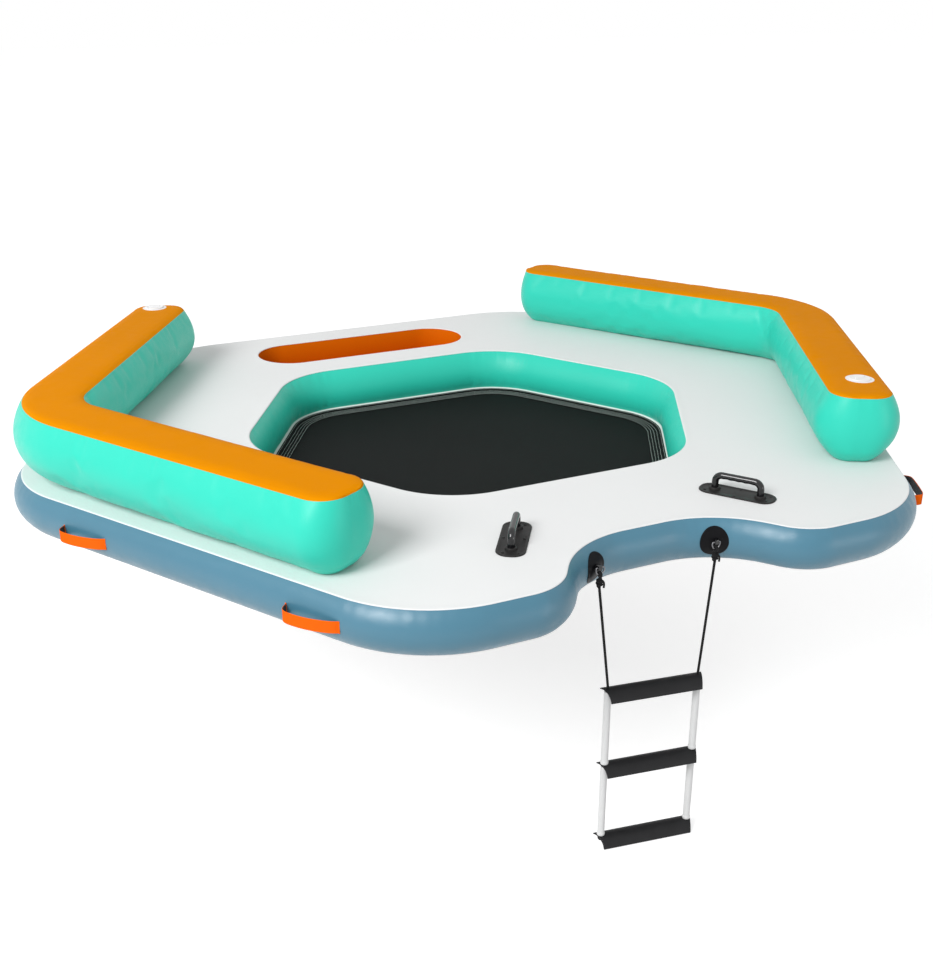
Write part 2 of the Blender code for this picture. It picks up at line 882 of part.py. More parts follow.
def build_grab_handle(side, label):
    """A mounting plate with a boss round each foot of its raised grip."""
    lean = -side * grab_turn
    centre = Vector((side * grab_centre_x, grab_from_front - front_side_apothem, deck_height + fit_gap))
    placement = Matrix.Translation(centre) @ Matrix.Rotation(lean, 4, "Z")
    half_length = grab_plate_length / 2
    half_width = grab_plate_width / 2
    corners = [Vector((half_length * x, half_width * y)) for x, y in square_signs]
    stations = rounded_outline(corners, [grab_plate_corner] * 4, [end_segments] * 4)
    rows = (
        (0.0, 0.0),
        (0.0, grab_plate_thickness - grab_plate_bevel),
        (-grab_plate_bevel, grab_plate_thickness),
    )
    name = label + "_grab_plate"
    plate = add_object(name, strip_mesh(name, [lift(stations, out, z) for out, z in rows]), black_rubber)
    plate.matrix_world = placement

    foot = grab_plate_thickness + fit_gap
    top = grab_height - grab_diameter / 2
    reach = grab_leg_spacing / 2
    points = [Vector((-reach, 0.0, foot))]
    for step in range(bend_steps + 1):
        angle = math.pi / 2 * step / bend_steps
        x = -reach + grab_bend_radius * (1 - math.cos(angle))
        points.append(Vector((x, 0.0, top - grab_bend_radius * (1 - math.sin(angle)))))
    points += [Vector((-point.x, 0.0, point.z)) for point in points[::-1]]
    name = label + "_grab_grip"
    grip = tube_curve(name, points, [1.0] * len(points), grab_diameter, black_rubber, resolution=4)
    grip.matrix_world = placement

    inner = grab_diameter / 2 + fit_gap
    boss_top = grab_plate_thickness + grab_boss_height
    profile = [
        (grab_boss_radius, grab_plate_thickness - grab_boss_sink),
        (grab_boss_radius, boss_top - grab_plate_bevel),
        (grab_boss_radius - grab_plate_bevel, boss_top),
        (inner, boss_top),
        (inner, grab_plate_thickness - grab_boss_sink),
    ]
    for end in (-1, 1):
        helper = "%s_grab_boss_%s" % (label, "front" if end > 0 else "rear")
        boss = add_object(helper, turned_mesh(helper, profile, round_sides), None)
        boss.matrix_world = placement @ Matrix.Translation((end * reach, 0.0, 0.0))
        cut(plate, boss, "UNION")


def ribbon(name, path, width, low, high, material):
    """A flat strap on edge along a level path, between two distances off the path."""
    sections = []
    for index, point in enumerate(path):
        before = path[max(index - 1, 0)]
        after = path[min(index + 1, len(path) - 1)]
        along = (after - before).normalized()
        out = Vector((along.y, -along.x, 0.0))
        rise = Vector((0.0, 0.0, width / 2))
        near = point + out * low
        far = point + out * high
        sections.append([far - rise, near - rise, near + rise, far + rise])
    return add_object(name, strip_mesh(name, sections), material)


def build_strap(side, place, label):
    """A webbing carry loop on a slanted front side, with a softer lining under its arch."""
    normal = Vector((side * math.cos(side_slope), -math.sin(side_slope), 0.0))
    tangent = Vector((-normal.y, normal.x, 0.0))
    out = slanted_side_apothem + out_at(side_rows, deck_height / 2) + fit_gap
    centre = normal * out + tangent * (-side * place) + Vector((0.0, 0.0, deck_height / 2 - strap_drop))
    arch = strap_length - 2 * strap_tab_length
    path = [centre - tangent * (strap_length / 2)]
    for along_share, out_share in strap_arch_shares:
        along = arch * (along_share - 1 / 2)
        path.append(centre + tangent * along + normal * (strap_stand_off * out_share))
    path.append(centre + tangent * (strap_length / 2))
    ribbon(label, path, strap_width, 0.0, strap_thickness, orange_webbing)
    lining_low = -fit_gap - strap_lining_thickness
    lining_width = strap_width - strap_lining_inset
    ribbon(label + "_lining", path[2:-2], lining_width, lining_low, -fit_gap, black_webbing)


def recess_facet(side):
    """The flat stretch of side wall in one rounded corner of the recess."""
    earlier_corners = deck_segments[:recess_floor_corners[side]]
    first = sum(count + 1 for count in earlier_corners) + recess_floor_segments // 2
    return deck_stations[first], deck_stations[first + 1]


def facet_frame(side):
    """Mid point function, sideways direction and outward direction of a recess facet."""
    first, second = recess_facet(side)
    sideways = (second[0] - first[0]).normalized().to_3d()
    outward = Vector((sideways.y, -sideways.x, 0.0))

    def middle(z):
        point, normal = station_between(first, second, 1 / 2)
        flat = point + normal * (out_at(side_rows, z) + fit_gap)
        return Vector((flat.x, flat.y, z))

    return middle, sideways, outward


def build_ring_patch(side, label):
    """A round patch that follows the bulged wall, and the keeper that holds the ring's bar."""
    middle, sideways, outward = facet_frame(side)
    angles = [math.radians(angle) for angle in patch_angles]
    patch_height = deck_height / 2 - ring_patch_drop
    heights = {patch_height + ring_patch_radius * math.sin(angle) for angle in angles}
    tallest = ring_patch_radius * math.sin(angles[-1])
    heights |= {z for _, z in side_rows if abs(z - patch_height) < tallest}
    sections = []
    for z in sorted(heights):
        half = math.sqrt(ring_patch_radius ** 2 - (z - patch_height) ** 2)
        back = middle(z)
        front = back + outward * ring_patch_thickness
        reach = sideways * half
        sections.append([front - reach, front + reach, back + reach, back - reach])
    name = label + "_ring_patch"
    add_object(name, strip_mesh(name, sections), black_rubber)

    bar = ring_bar_centre(side)
    face = bar - outward * (ring_stand_off - fit_gap)
    across = Vector((keeper_width / 2, 0.0, 0.0))
    front = bar - Vector((0.0, keeper_front, 0.0))
    root = sideways * (keeper_root / 2)
    plan = [front - across, front + across, face + root, face - root]
    name = label + "_ring_keeper"
    rows = []
    for z in (bar.z - keeper_height / 2, bar.z + keeper_height / 2):
        rows.append([Vector((point.x, point.y, z)) for point in plan])
    keeper = add_object(name, strip_mesh(name, rows), black_plastic)
    quarter = Matrix.Translation(bar) @ Matrix.Rotation(math.pi / 2, 4, "Y")
    reach = keeper_root + cut_overrun
    hole_radius = ring_wire_diameter / 2 + ring_play
    cut(keeper, cylinder_cutter(name + "_hole", hole_radius, -reach, reach, quarter))


def ring_bar_centre(side):
    """Where the bar of a ladder ring runs through its keeper; both bars lie on one line along X."""
    middle, _, outward = facet_frame(side)
    bar_height = deck_height / 2 + ring_bar_rise
    return middle(bar_height) + outward * (ring_patch_thickness + ring_stand_off)


def build_ring(side, label):
    """A steel D-ring hanging in its keeper, and the rope's eye and knot below it."""
    bar = ring_bar_centre(side)
    reach = (ring_inner_width + ring_wire_diameter) / 2
    corner = ring_corner_radius
    points = [bar + Vector((-reach + corner, 0.0, 0.0)), bar + Vector((reach - corner, 0.0, 0.0))]
    for step in range(1, ring_corner_steps):
        angle = math.pi / 2 * step / ring_corner_steps
        shift = Vector((math.sin(angle), 0.0, math.cos(angle) - 1)) * corner
        points.append(bar + Vector((reach - corner, 0.0, 0.0)) + shift)
    for step in range(ring_steps + 1):
        angle = math.pi * step / ring_steps
        drop = corner + (ring_drop - corner) * math.sin(angle)
        points.append(bar + Vector((reach * math.cos(angle), 0.0, -drop)))
    for step in range(1, ring_corner_steps):
        angle = math.pi / 2 * (1 - step / ring_corner_steps)
        shift = Vector((-math.sin(angle), 0.0, math.cos(angle) - 1)) * corner
        points.append(bar + Vector((corner - reach, 0.0, 0.0)) + shift)
    tube_curve(label + "_d_ring", points, [1.0] * len(points), ring_wire_diameter, steel, cyclic=True)

    eye_centre = bar - Vector((0.0, 0.0, ring_drop))
    points = []
    for step in range(eye_steps):
        angle = 2 * math.pi * step / eye_steps
        points.append(Vector((0.0, math.cos(angle), math.sin(angle))) * eye_radius)
    eye = tube_curve(label + "_rope_eye", points, [1.0] * eye_steps, rope_diameter, black_rope, cyclic=True)
    eye.location = eye_centre
    name = label + "_rope_knot"
    profile = [(0.0, knot_bottom)]
    for step in range(knot_bands + 1):
        share = step / knot_bands
        swell = math.sin(math.pi * (knot_end_share + (1 - 2 * knot_end_share) * share))
        profile.append((knot_radius * swell, knot_bottom + knot_length * share))
    profile.append((0.0, knot_bottom + knot_length))
    knot = add_object(name, turned_mesh(name, profile, tube_sides), black_rope)
    knot.location = eye_centre


eye_radius = ring_wire_diameter / 2 + eye_slack + rope_diameter / 2
knot_bottom = -eye_radius - rope_diameter / 2 - fit_gap - knot_length
hanger = (ring_bar_centre(-1) + ring_bar_centre(1)) / 2
rung_radius = rung_chord / 2 / math.sin(rung_half_angle)
along_rung = Vector((math.cos(ladder_turn), math.sin(ladder_turn), 0.0))
rung_front = Vector((math.sin(ladder_turn), -math.cos(ladder_turn), 0.0))
pivot_rise = rope_diameter / 2 + fit_gap
rung_hole_radius = rope_diameter / 2 + fit_gap
inner_pivot_drop = rope_diameter / 2


def crest(step):
    """The highest line of a rung, at mid length, counted from the top rung."""
    return Vector((ladder_offset_x, hanger.y + ladder_set_back, top_rung_z - rung_spacing * step))


def build_rung(step):
    """An arched tread with its hollow below, leaning forwards, with a hole for each rope."""
    back = -rung_half_angle + rung_lean
    front = rung_half_angle + rung_lean
    outer = []
    inner = []
    for index in range(rung_bands + 1):
        angle = back + (front - back) * index / rung_bands
        ray = Vector((math.sin(angle), math.cos(angle)))
        outer.append(ray * rung_radius - Vector((0.0, rung_radius)))
        inner.append(ray * (rung_radius - rung_wall) - Vector((0.0, rung_radius)))
    section = outer + inner[::-1]
    depth = outer[-1].x - outer[0].x
    sections = []
    for end in (-1, 1):
        points = []
        for point in section:
            set_back = rung_end_set_back * (point.x - outer[0].x) / depth
            along = end * (rung_length / 2 - set_back)
            points.append(along_rung * along + rung_front * point.x + Vector((0.0, 0.0, point.y)))
        sections.append(points)
    name = "rung_%d" % (step + 1)
    rung = add_object(name, strip_mesh(name, sections), black_plastic)
    rung.location = crest(step)
    for side, label in sides:
        place = Matrix.Translation(hole_line(side, step))
        low = -rung_wall - cut_overrun
        cut(rung, cylinder_cutter(name + "_hole_" + label, rung_hole_radius, low, cut_overrun, place))


def arch_sag(reach):
    """How far a rung's underside falls off at this distance from its highest line."""
    inner_radius = rung_radius - rung_wall
    return inner_radius - math.sqrt(inner_radius ** 2 - reach ** 2)


def hole_line(side, step):
    return crest(step) + along_rung * (side * rung_hole_spacing / 2)


def build_spacer(side, label, step):
    """A tube that keeps two rungs apart: its foot stands on the lower rung's crest."""
    foot = hole_line(side, step)
    top = rung_spacing - rung_wall - spacer_head_room
    outer = spacer_diameter / 2
    profile = [
        (outer + spacer_collar, fit_gap),
        (outer + spacer_collar, spacer_collar_height),
        (outer, spacer_collar_height + spacer_collar),
        (outer, top),
        (outer - spacer_wall, top),
        (outer - spacer_wall, fit_gap),
    ]
    name = "%s_spacer_tube_%d" % (label, step)
    tube = add_object(name, turned_mesh(name, profile, small_round_sides), white_plastic)
    tube.location = foot


def build_ropes():
    """Each rope from its knot to the top rung, then inside the spacer tubes to a knot under the last rung."""
    up = Vector((0.0, 0.0, 1.0))
    shoulder_drop_share, shoulder_share = stopper_shares[0]
    seat_drop = rung_wall + arch_sag(stopper_radius * shoulder_share) + fit_gap
    for side, label in sides:
        knot_end = ring_bar_centre(side) + up * (knot_bottom - ring_drop - fit_gap - rope_diameter / 2)
        end = hole_line(side, 0) + up * pivot_rise
        points = [knot_end.lerp(end, step / free_rope_steps) for step in range(free_rope_steps + 1)]
        rope_piece(label + "_ladder_rope", points, [1.0] * len(points), black_rope)

        start = hole_line(side, 0) - up * inner_pivot_drop
        end = hole_line(side, 1) + up * pivot_rise
        rope_piece(label + "_inner_rope_1", [start, end], [1.0, 1.0], black_rope)

        start = hole_line(side, 1) - up * inner_pivot_drop
        under = hole_line(side, rung_count - 1) - up * (seat_drop - stopper_length * shoulder_drop_share)
        knob = 2 * stopper_radius / rope_diameter
        points = [start, under]
        shares = [1.0, 1.0]
        for drop_share, knob_share in stopper_shares:
            points.append(under - up * (stopper_length * drop_share))
            shares.append(knob * knob_share)
        rope_piece(label + "_inner_rope_2", points, shares, black_rope, round_end=False)


def main():
    clear_scene()
    core, bottom_skin = build_deck()
    build_well_floor()
    front_legs = {-1: False, 1: True}
    from_ends = {-1: left_valve_from_end, 1: right_valve_from_end}
    for side, label in sides:
        bladder, panel = build_backrest(side, label)
        front = front_legs[side]
        leg = backrest_front_legs[side] if front else backrest_back_leg
        middle = backrest_outer_apothem - backrest_top_width / 2
        if not front:
            middle += backrest_back_shift
        point = leg_point(side, front, middle + valve_off_middle, leg - from_ends[side])
        placement = flat_placement(point, panel_edge_top + backrest_crown)
        build_valve(label, placement, panel, bladder)
        build_grab_handle(side, label)
        for place, end in ((strap_front_place, "front"), (-strap_back_place, "side")):
            build_strap(side, place, "%s_%s_strap" % (label, end))
        build_ring_patch(side, label)
        build_ring(side, label)
        for step in range(1, rung_count):
            build_spacer(side, label, step)
    valve_y = back_side_apothem - deck_valve_from_back
    point = Vector((slanted_side_x(valve_y) - deck_valve_from_side, valve_y))
    placement = flat_placement(point, 0.0, flip=True)
    build_valve("deck", placement, bottom_skin, core)
    for step in range(rung_count):
        build_rung(step)
    build_ropes()


main()
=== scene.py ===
"""Inflatable dock platform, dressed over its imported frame. Metres, +Z up."""
import math

import bpy
import numpy as np
from mathutils import Matrix, Vector
from mathutils.geometry import tessellate_polygon


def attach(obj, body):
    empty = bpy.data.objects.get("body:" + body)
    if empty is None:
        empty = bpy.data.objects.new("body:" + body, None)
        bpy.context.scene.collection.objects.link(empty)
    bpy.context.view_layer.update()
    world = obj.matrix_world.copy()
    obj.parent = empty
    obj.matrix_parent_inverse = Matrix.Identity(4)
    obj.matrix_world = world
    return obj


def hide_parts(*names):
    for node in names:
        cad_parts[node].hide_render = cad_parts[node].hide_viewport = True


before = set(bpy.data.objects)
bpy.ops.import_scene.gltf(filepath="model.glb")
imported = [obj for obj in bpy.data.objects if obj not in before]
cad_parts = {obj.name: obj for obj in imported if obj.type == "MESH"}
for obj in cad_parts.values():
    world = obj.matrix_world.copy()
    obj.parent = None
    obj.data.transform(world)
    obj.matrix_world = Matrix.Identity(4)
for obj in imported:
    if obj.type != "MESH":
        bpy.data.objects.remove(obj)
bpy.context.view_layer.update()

random = np.random.default_rng(11)
UP = Vector((0.0, 0.0, 1.0))
SIDES = ((-1, "left"), (1, "right"))

# Camera, solved from the photograph's perspective
camera_data = bpy.data.cameras.new("camera")
camera_data.lens = 47.31
camera_data.sensor_width = 36.0
camera_data.sensor_fit = "HORIZONTAL"
camera = bpy.data.objects.new("camera", camera_data)
camera.location = (-2.102, -4.344, 1.780)
camera.rotation_euler = (math.radians(67.78), 0.0, math.radians(-25.55))
bpy.context.scene.collection.objects.link(camera)
bpy.context.scene.camera = camera
bpy.context.scene.view_settings.view_transform = "Standard"


# Mesh helpers

def add(name, verts, faces, uvs, material, body="platform", smooth=40):
    """A mesh object with a UV map in metres, riding on a body."""
    mesh = bpy.data.meshes.new(name)
    mesh.from_pydata([tuple(v) for v in verts], [], faces)
    layer = mesh.uv_layers.new(name="UVMap")
    flat = np.array([uv for face in uvs for uv in face], dtype=np.float32)
    layer.data.foreach_set("uv", flat.ravel())
    mesh.materials.append(material)
    mesh.shade_smooth()
    if smooth < 180:
        mesh.set_sharp_from_angle(angle=math.radians(smooth))
    piece = bpy.data.objects.new(name, mesh)
    bpy.context.scene.collection.objects.link(piece)
    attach(piece, body)
    return piece


def dress(name, part, material, nodes, slot, body="platform", **look):
    """A piece that stands for one or more nodes of the frame, whose names are parted by blanks."""
    piece = add(name, *part, material, body, **look)
    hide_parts(*nodes.split())
    return piece


def plan_uvs(verts, faces):
    return [[(verts[i][0], verts[i][1]) for i in face] for face in faces]


def facing(part, probe, way):
    """The part, turned inside out if its face number probe looks away from the given way."""
    verts, faces, uvs = part
    a, b, c = (Vector(verts[i]) for i in faces[probe][:3])
    if (b - a).cross(c - a).dot(way) < 0:
        faces = [face[::-1] for face in faces]
        uvs = [face[::-1] for face in uvs]
    return verts, faces, uvs


def lattice(rows, wrap=True, caps=(False, False)):
    """Vertices, quads and UVs of a grid of points: rows run upwards, columns anticlockwise."""
    rows = np.asarray(rows, dtype=float)
    tall, wide = rows.shape[:2]
    ring = np.concatenate([rows, rows[:, :1]], axis=1) if wrap else rows
    along = np.linalg.norm(np.diff(ring, axis=1), axis=2).mean(axis=0)
    across = np.linalg.norm(np.diff(rows, axis=0), axis=2).mean(axis=1)
    u = np.concatenate([[0.0], np.cumsum(along)])
    v = np.concatenate([[0.0], np.cumsum(across)])
    faces = []
    uvs = []
    for r in range(tall - 1):
        for c in range(wide if wrap else wide - 1):
            low = r * wide + c
            next_low = r * wide + (c + 1) % wide
            faces.append((low, next_low, next_low + wide, low + wide))
            uvs.append(((u[c], v[r]), (u[c + 1], v[r]), (u[c + 1], v[r + 1]), (u[c], v[r + 1])))
    verts = rows.reshape(-1, 3)
    for wanted, r in zip(caps, (0, tall - 1)):
        if wanted:
            ends = list(range(r * wide, (r + 1) * wide))
            faces.append(ends[::-1] if r == 0 else ends)
            uvs += plan_uvs(verts, faces[-1:])
    return verts, faces, uvs


def merge(*parts):
    """Several (verts, faces, uvs) as one."""
    verts, faces, uvs = [], [], []
    start = 0
    for part_verts, part_faces, part_uvs in parts:
        verts.append(np.asarray(part_verts, dtype=float).reshape(-1, 3))
        faces += [tuple(i + start for i in face) for face in part_faces]
        uvs += list(part_uvs)
        start += len(part_verts)
    return np.concatenate(verts), faces, uvs


def placed(part, matrix):
    verts, faces, uvs = part
    return [tuple(matrix @ Vector(v)) for v in verts], faces, uvs


def fill(loops, up=True):
    """A flat filling of an outer loop and its holes, with plan UVs."""
    verts = [Vector(p) for loop in loops for p in loop]
    faces = []
    for triangle in tessellate_polygon([[Vector(p) for p in loop] for loop in loops]):
        a, b, c = (verts[i] for i in triangle)
        looks_up = (b - a).cross(c - a).z > 0
        faces.append(tuple(triangle) if looks_up == up else tuple(triangle)[::-1])
    return [tuple(v) for v in verts], faces, plan_uvs(verts, faces)


def ring_row(radius, z, angles):
    return np.stack([radius * np.cos(angles), radius * np.sin(angles), np.full(len(angles), z)], axis=1)


def turned(profile, sides):
    """A solid of revolution about Z from (radius, z) points, listed upwards on the outside."""
    angles = np.arange(sides) * (2 * math.pi / sides)
    return lattice([ring_row(r, z, angles) for r, z in profile])


def tube(path, radius, sides, closed=False, shape=None):
    """A round tube along a path, with one radius or one per point; shape(index, ray) may scale it."""
    path = [Vector(p) for p in path]
    count = len(path)
    radii = radius if hasattr(radius, "__len__") else [radius] * count
    rows = []
    side = None
    for index, point in enumerate(path):
        ahead = path[(index + 1) % count] if closed else path[min(index + 1, count - 1)]
        behind = path[index - 1] if closed or index else path[0]
        along = (ahead - behind).normalized()
        if side is None:
            side = along.orthogonal()
        side = (side - along * side.dot(along)).normalized()
        other = along.cross(side)
        row = []
        for step in range(sides):
            angle = 2 * math.pi * step / sides
            ray = side * math.cos(angle) + other * math.sin(angle)
            scale = shape(index, ray) if shape else 1.0
            row.append(tuple(point + ray * (radii[index] * scale)))
        rows.append(row)
    if closed:
        rows.append(rows[0])
        return lattice(rows)
    return lattice(rows, caps=(True, True))


def smooth_path(points, count):
    """Points of a smooth curve through the given ones."""
    points = [Vector(p) for p in points]
    ends = [2 * points[0] - points[1]] + points + [2 * points[-1] - points[-2]]
    result = []
    for index in range(count):
        t = index / (count - 1) * (len(points) - 1)
        k = min(int(t), len(points) - 2)
        t -= k
        a, b, c, d = ends[k:k + 4]
        result.append(0.5 * (2 * b + (c - a) * t + (2 * a - 5 * b + 4 * c - d) * t * t
                             + (3 * b - a - 3 * c + d) * t ** 3))
    return result


def rounded(corners, radii, spacing):
    """A closed outline with arcs for corners: points, outward normals and curvature at each."""
    corners = [Vector(c) for c in corners]
    count = len(corners)
    arcs = []
    for index, corner in enumerate(corners):
        before = (corners[index - 1] - corner).normalized()
        after = (corners[(index + 1) % count] - corner).normalized()
        half_turn = (math.pi - before.angle(after)) / 2
        convex = before.x * after.y - before.y * after.x < 0
        radius = radii[index]
        centre = corner + (before + after).normalized() * (radius / math.cos(half_turn))
        ray = (corner + before * (radius * math.tan(half_turn)) - centre) / radius
        arcs.append((centre, ray, 2 * half_turn if convex else -2 * half_turn, radius, convex))
    points, normals, bends = [], [], []
    for index, (centre, ray, turn, radius, convex) in enumerate(arcs):
        steps = max(4, math.ceil(abs(turn) * radius / spacing))
        for step in range(steps + 1):
            spoke = Matrix.Rotation(turn * step / steps, 2) @ ray
            points.append(centre + spoke * radius)
            normals.append(spoke if convex else -spoke)
            bends.append((1 if convex else -1) / radius)
        next_centre, next_ray, _, next_radius, _ = arcs[(index + 1) % count]
        start, end = points[-1], next_centre + next_ray * next_radius
        steps = max(1, round((end - start).length / spacing))
        for step in range(1, steps):
            points.append(start.lerp(end, step / steps))
            normals.append(normals[-1])
            bends.append(0.0)
    return np.array(points), np.array(normals), np.array(bends)


def loop_at(outline, out, z):
    """The outline pushed out by out, at height z; both may be one value or one per point."""
    flat = outline[0] + outline[1] * np.reshape(out, (-1, 1))
    return np.column_stack([flat, np.broadcast_to(z, len(flat))])


def arc_rows(low, high, sagitta, bands):
    """(out, z) rows of a circular bulge between two heights."""
    half = (high - low) / 2
    radius = (half ** 2 + sagitta ** 2) / (2 * sagitta)
    widest = math.asin(half / radius)
    angles = np.linspace(-widest, widest, bands + 1)
    middle = (high + low) / 2
    return [(radius * math.cos(a) - radius + sagitta, middle + radius * math.sin(a)) for a in angles]


def ripple(length, count, waves, low, high):
    """A smooth random wave round a closed outline, between -1 and 1; low and high are cycles per metre."""
    s = np.linspace(0.0, 1.0, count, endpoint=False)
    wave = np.zeros(count)
    for _ in range(waves):
        cycles = random.integers(int(length * low), int(length * high) + 1)
        wave += np.sin(2 * math.pi * (cycles * s + random.random()))
    return wave / waves


def softened(values, passes):
    """Values round a closed outline, averaged with their neighbours."""
    for _ in range(passes):
        values = (np.roll(values, 1) + values * 2 + np.roll(values, -1)) / 4
    return values


# Material helpers

class Nodes:
    """A short way to write the node tree of a material or world."""

    def __init__(self, owner):
        owner.use_nodes = True
        self.owner = owner
        self.tree = owner.node_tree

    def add(self, kind, **values):
        node = self.tree.nodes.new(kind)
        for key, value in values.items():
            if key in node.inputs:
                self.put(node.inputs[key], value)
            else:
                setattr(node, key, value)
        return node

    def put(self, socket, value):
        if isinstance(value, bpy.types.NodeSocket):
            self.tree.links.new(value, socket)
        else:
            socket.default_value = value

    def feed(self, kind, *values, **settings):
        """The first output of a node whose sockets take the values in order."""
        node = self.add(kind, **settings)
        for socket, value in zip(node.inputs, values):
            self.put(socket, value)
        return node.outputs[0]

    def math(self, operation, *values):
        return self.feed("ShaderNodeMath", *values, operation=operation)

    def noise(self, vector, scale, detail=2.0, roughness=0.5):
        values = {"Vector": vector, "Scale": scale, "Detail": detail, "Roughness": roughness}
        return self.add("ShaderNodeTexNoise", **values).outputs["Fac"]

    def spread(self, value, low, high, new_low, new_high):
        """The value, with the range low to high stretched to the new one and clamped to it."""
        limits = {"From Min": low, "From Max": high, "To Min": new_low, "To Max": new_high}
        return self.add("ShaderNodeMapRange", Value=value, **limits).outputs[0]

    def blend(self, factor, first, second):
        node = self.add("ShaderNodeMix", data_type="RGBA")
        self.put(node.inputs[0], factor)
        for socket, value in zip((node.inputs[6], node.inputs[7]), (first, second)):
            self.put(socket, (*value, 1.0) if isinstance(value, tuple) else value)
        return node.outputs[2]

    def wave(self, value, period):
        """A sine of a length, from -1 to 1."""
        return self.math("SINE", self.math("MULTIPLY", value, 2 * math.pi / period))

    def bump(self, height, distance, strength=1.0, under=None):
        node = self.add("ShaderNodeBump", Height=height, Distance=distance, Strength=strength)
        if under:
            self.put(node.inputs["Normal"], under)
        return node.outputs["Normal"]

    def uv(self):
        node = self.add("ShaderNodeUVMap")
        split = self.add("ShaderNodeSeparateXYZ", Vector=node.outputs[0])
        return split.outputs[0], split.outputs[1]

    def place(self):
        return self.add("ShaderNodeTexCoord").outputs["Object"]

    def finish(self, colour, roughness, normal, **rest):
        shader = self.tree.nodes["Principled BSDF"]
        for key, value in {**rest, "Roughness": roughness, "Normal": normal, "Base Color": colour}.items():
            self.put(shader.inputs[key], value)
        return self.owner


def painted(name):
    return Nodes(bpy.data.materials.new(name))


def shade(colour, factor):
    return tuple(min(1.0, c * factor) for c in colour)


def mottled(n, factor, colour, spread):
    """The colour, a share darker or lighter from place to place."""
    return n.blend(factor, shade(colour, 1 - spread), shade(colour, 1 + spread))


def coated_cloth(name, colour, roughness, dimples=False, mottle=0.03, gloss=0.12, index=1.5):
    """Welded PVC over a woven base: faint threads, slow colour drift, small scuffs."""
    thread, dimple = 0.0024, 0.018
    n = painted(name)
    u, v = n.uv()
    place = n.place()
    drift = n.noise(place, 1.7, 3.0)
    grain = n.noise(place, 240.0, 2.0)
    tone = mottled(n, n.spread(drift, 0.3, 0.7, 0.0, 1.0), colour, mottle)
    tone = n.blend(n.spread(grain, 0.50, 0.80, 0.0, 0.20), tone, shade(colour, 0.94))
    threads = n.math("MULTIPLY", n.wave(u, thread), n.wave(v, thread))
    height = n.bump(threads, 0.0002, 0.30)
    if dimples:
        cells = n.math("MULTIPLY", n.wave(u, dimple), n.wave(v, dimple))
        height = n.bump(cells, 0.0003, 0.10, height)
    swell = n.noise(place, 7.0, 2.0)
    height = n.bump(swell, 0.004, 0.06, height)
    height = n.bump(grain, 0.0002, 0.15, height)
    shine = n.spread(n.noise(place, 26.0, 3.0), 0.3, 0.7, roughness - 0.05, roughness + 0.07)
    return n.finish(tone, shine, height, **{"Specular IOR Level": gloss, "IOR": index})


def moulded(name, colour, roughness, grain_size=700.0, depth=0.0003, mottle=0.12, gloss=0.5):
    """Moulded plastic or rubber: a fine spark grain and slightly worn patches."""
    n = painted(name)
    place = n.place()
    grain = n.noise(place, grain_size, 2.0, 0.6)
    wear = n.noise(place, 22.0, 4.0, 0.6)
    tone = mottled(n, n.spread(wear, 0.35, 0.7, 0.0, 1.0), colour, mottle)
    shine = n.spread(wear, 0.3, 0.75, roughness - 0.06, roughness + 0.08)
    height = n.bump(grain, depth, 0.5)
    return n.finish(tone, shine, height, **{"Specular IOR Level": gloss})


def webbing(name, colour, dark, gloss=0.25, sheen=0.10):
    """Woven polyester: chevron ribs along the length, darker between the yarns."""
    n = painted(name)
    u, v = n.uv()
    zigzag = n.math("ABSOLUTE", n.wave(v, 0.0120))
    ribs = n.wave(n.math("ADD", u, n.math("MULTIPLY", zigzag, 0.0016)), 0.0026)
    yarns = n.wave(v, 0.0015)
    weave = n.math("MULTIPLY", n.math("ADD", ribs, yarns), 0.5)
    fuzz = n.noise(n.place(), 900.0, 2.0, 0.7)
    tone = n.blend(n.spread(weave, -0.9, 0.5, 0.0, 1.0), dark, colour)
    tone = n.blend(n.spread(fuzz, 0.5, 0.8, 0.0, 0.25), tone, shade(colour, 1.25))
    height = n.bump(fuzz, 0.0002, 0.4, n.bump(weave, 0.0004, 0.9))
    return n.finish(tone, 0.72, height, **{"Sheen Weight": sheen, "Specular IOR Level": gloss})


def braid(name, colour, light):
    """Braided rope: two crossing families of strands; U runs along, V round."""
    n = painted(name)
    pitch = 0.0047
    v, u = n.uv()
    first = n.wave(n.math("ADD", u, v), pitch)
    second = n.wave(n.math("SUBTRACT", u, v), pitch)
    strands = n.math("MAXIMUM", first, second)
    fibres = n.noise(n.place(), 1500.0, 2.0, 0.7)
    tone = n.blend(n.spread(strands, -0.2, 1.0, 0.0, 1.0), shade(colour, 0.35), light)
    tone = n.blend(n.spread(fibres, 0.45, 0.8, 0.0, 0.5), tone, colour)
    height = n.bump(fibres, 0.0002, 0.5, n.bump(strands, 0.0006, 0.9))
    return n.finish(tone, 0.62, height, **{"Sheen Weight": 0.05, "Specular IOR Level": 0.10})


def knitted_net(name, colour, hole):
    """Close knitted mesh: staggered small holes between thick threads. The holes are real, but their
    near-black tone is painted shade for the dark space seen through them.
    """
    n = painted(name)
    u, v = n.uv()
    rows = n.wave(v, 0.0052)
    columns = n.wave(u, 0.0030)
    crossing = n.math("MULTIPLY", rows, columns)
    ribs = n.wave(n.math("ADD", u, n.math("MULTIPLY", v, 0.577)), 0.0060)
    pattern = n.math("ADD", n.math("MULTIPLY", crossing, 0.7), n.math("MULTIPLY", ribs, 0.3))
    drift = n.noise(n.place(), 3.0, 3.0)
    thread = mottled(n, n.spread(drift, 0.3, 0.7, 0.0, 1.0), colour, 0.15)
    # Painted shade: the holes take the near-black hole colour instead of showing what lies beneath the net.
    tone = n.blend(n.spread(pattern, -0.15, 0.35, 0.0, 1.0), hole, thread)
    height = n.bump(pattern, 0.0008, 0.8)
    return n.finish(tone, 0.72, height, **{"Specular IOR Level": 0.10})


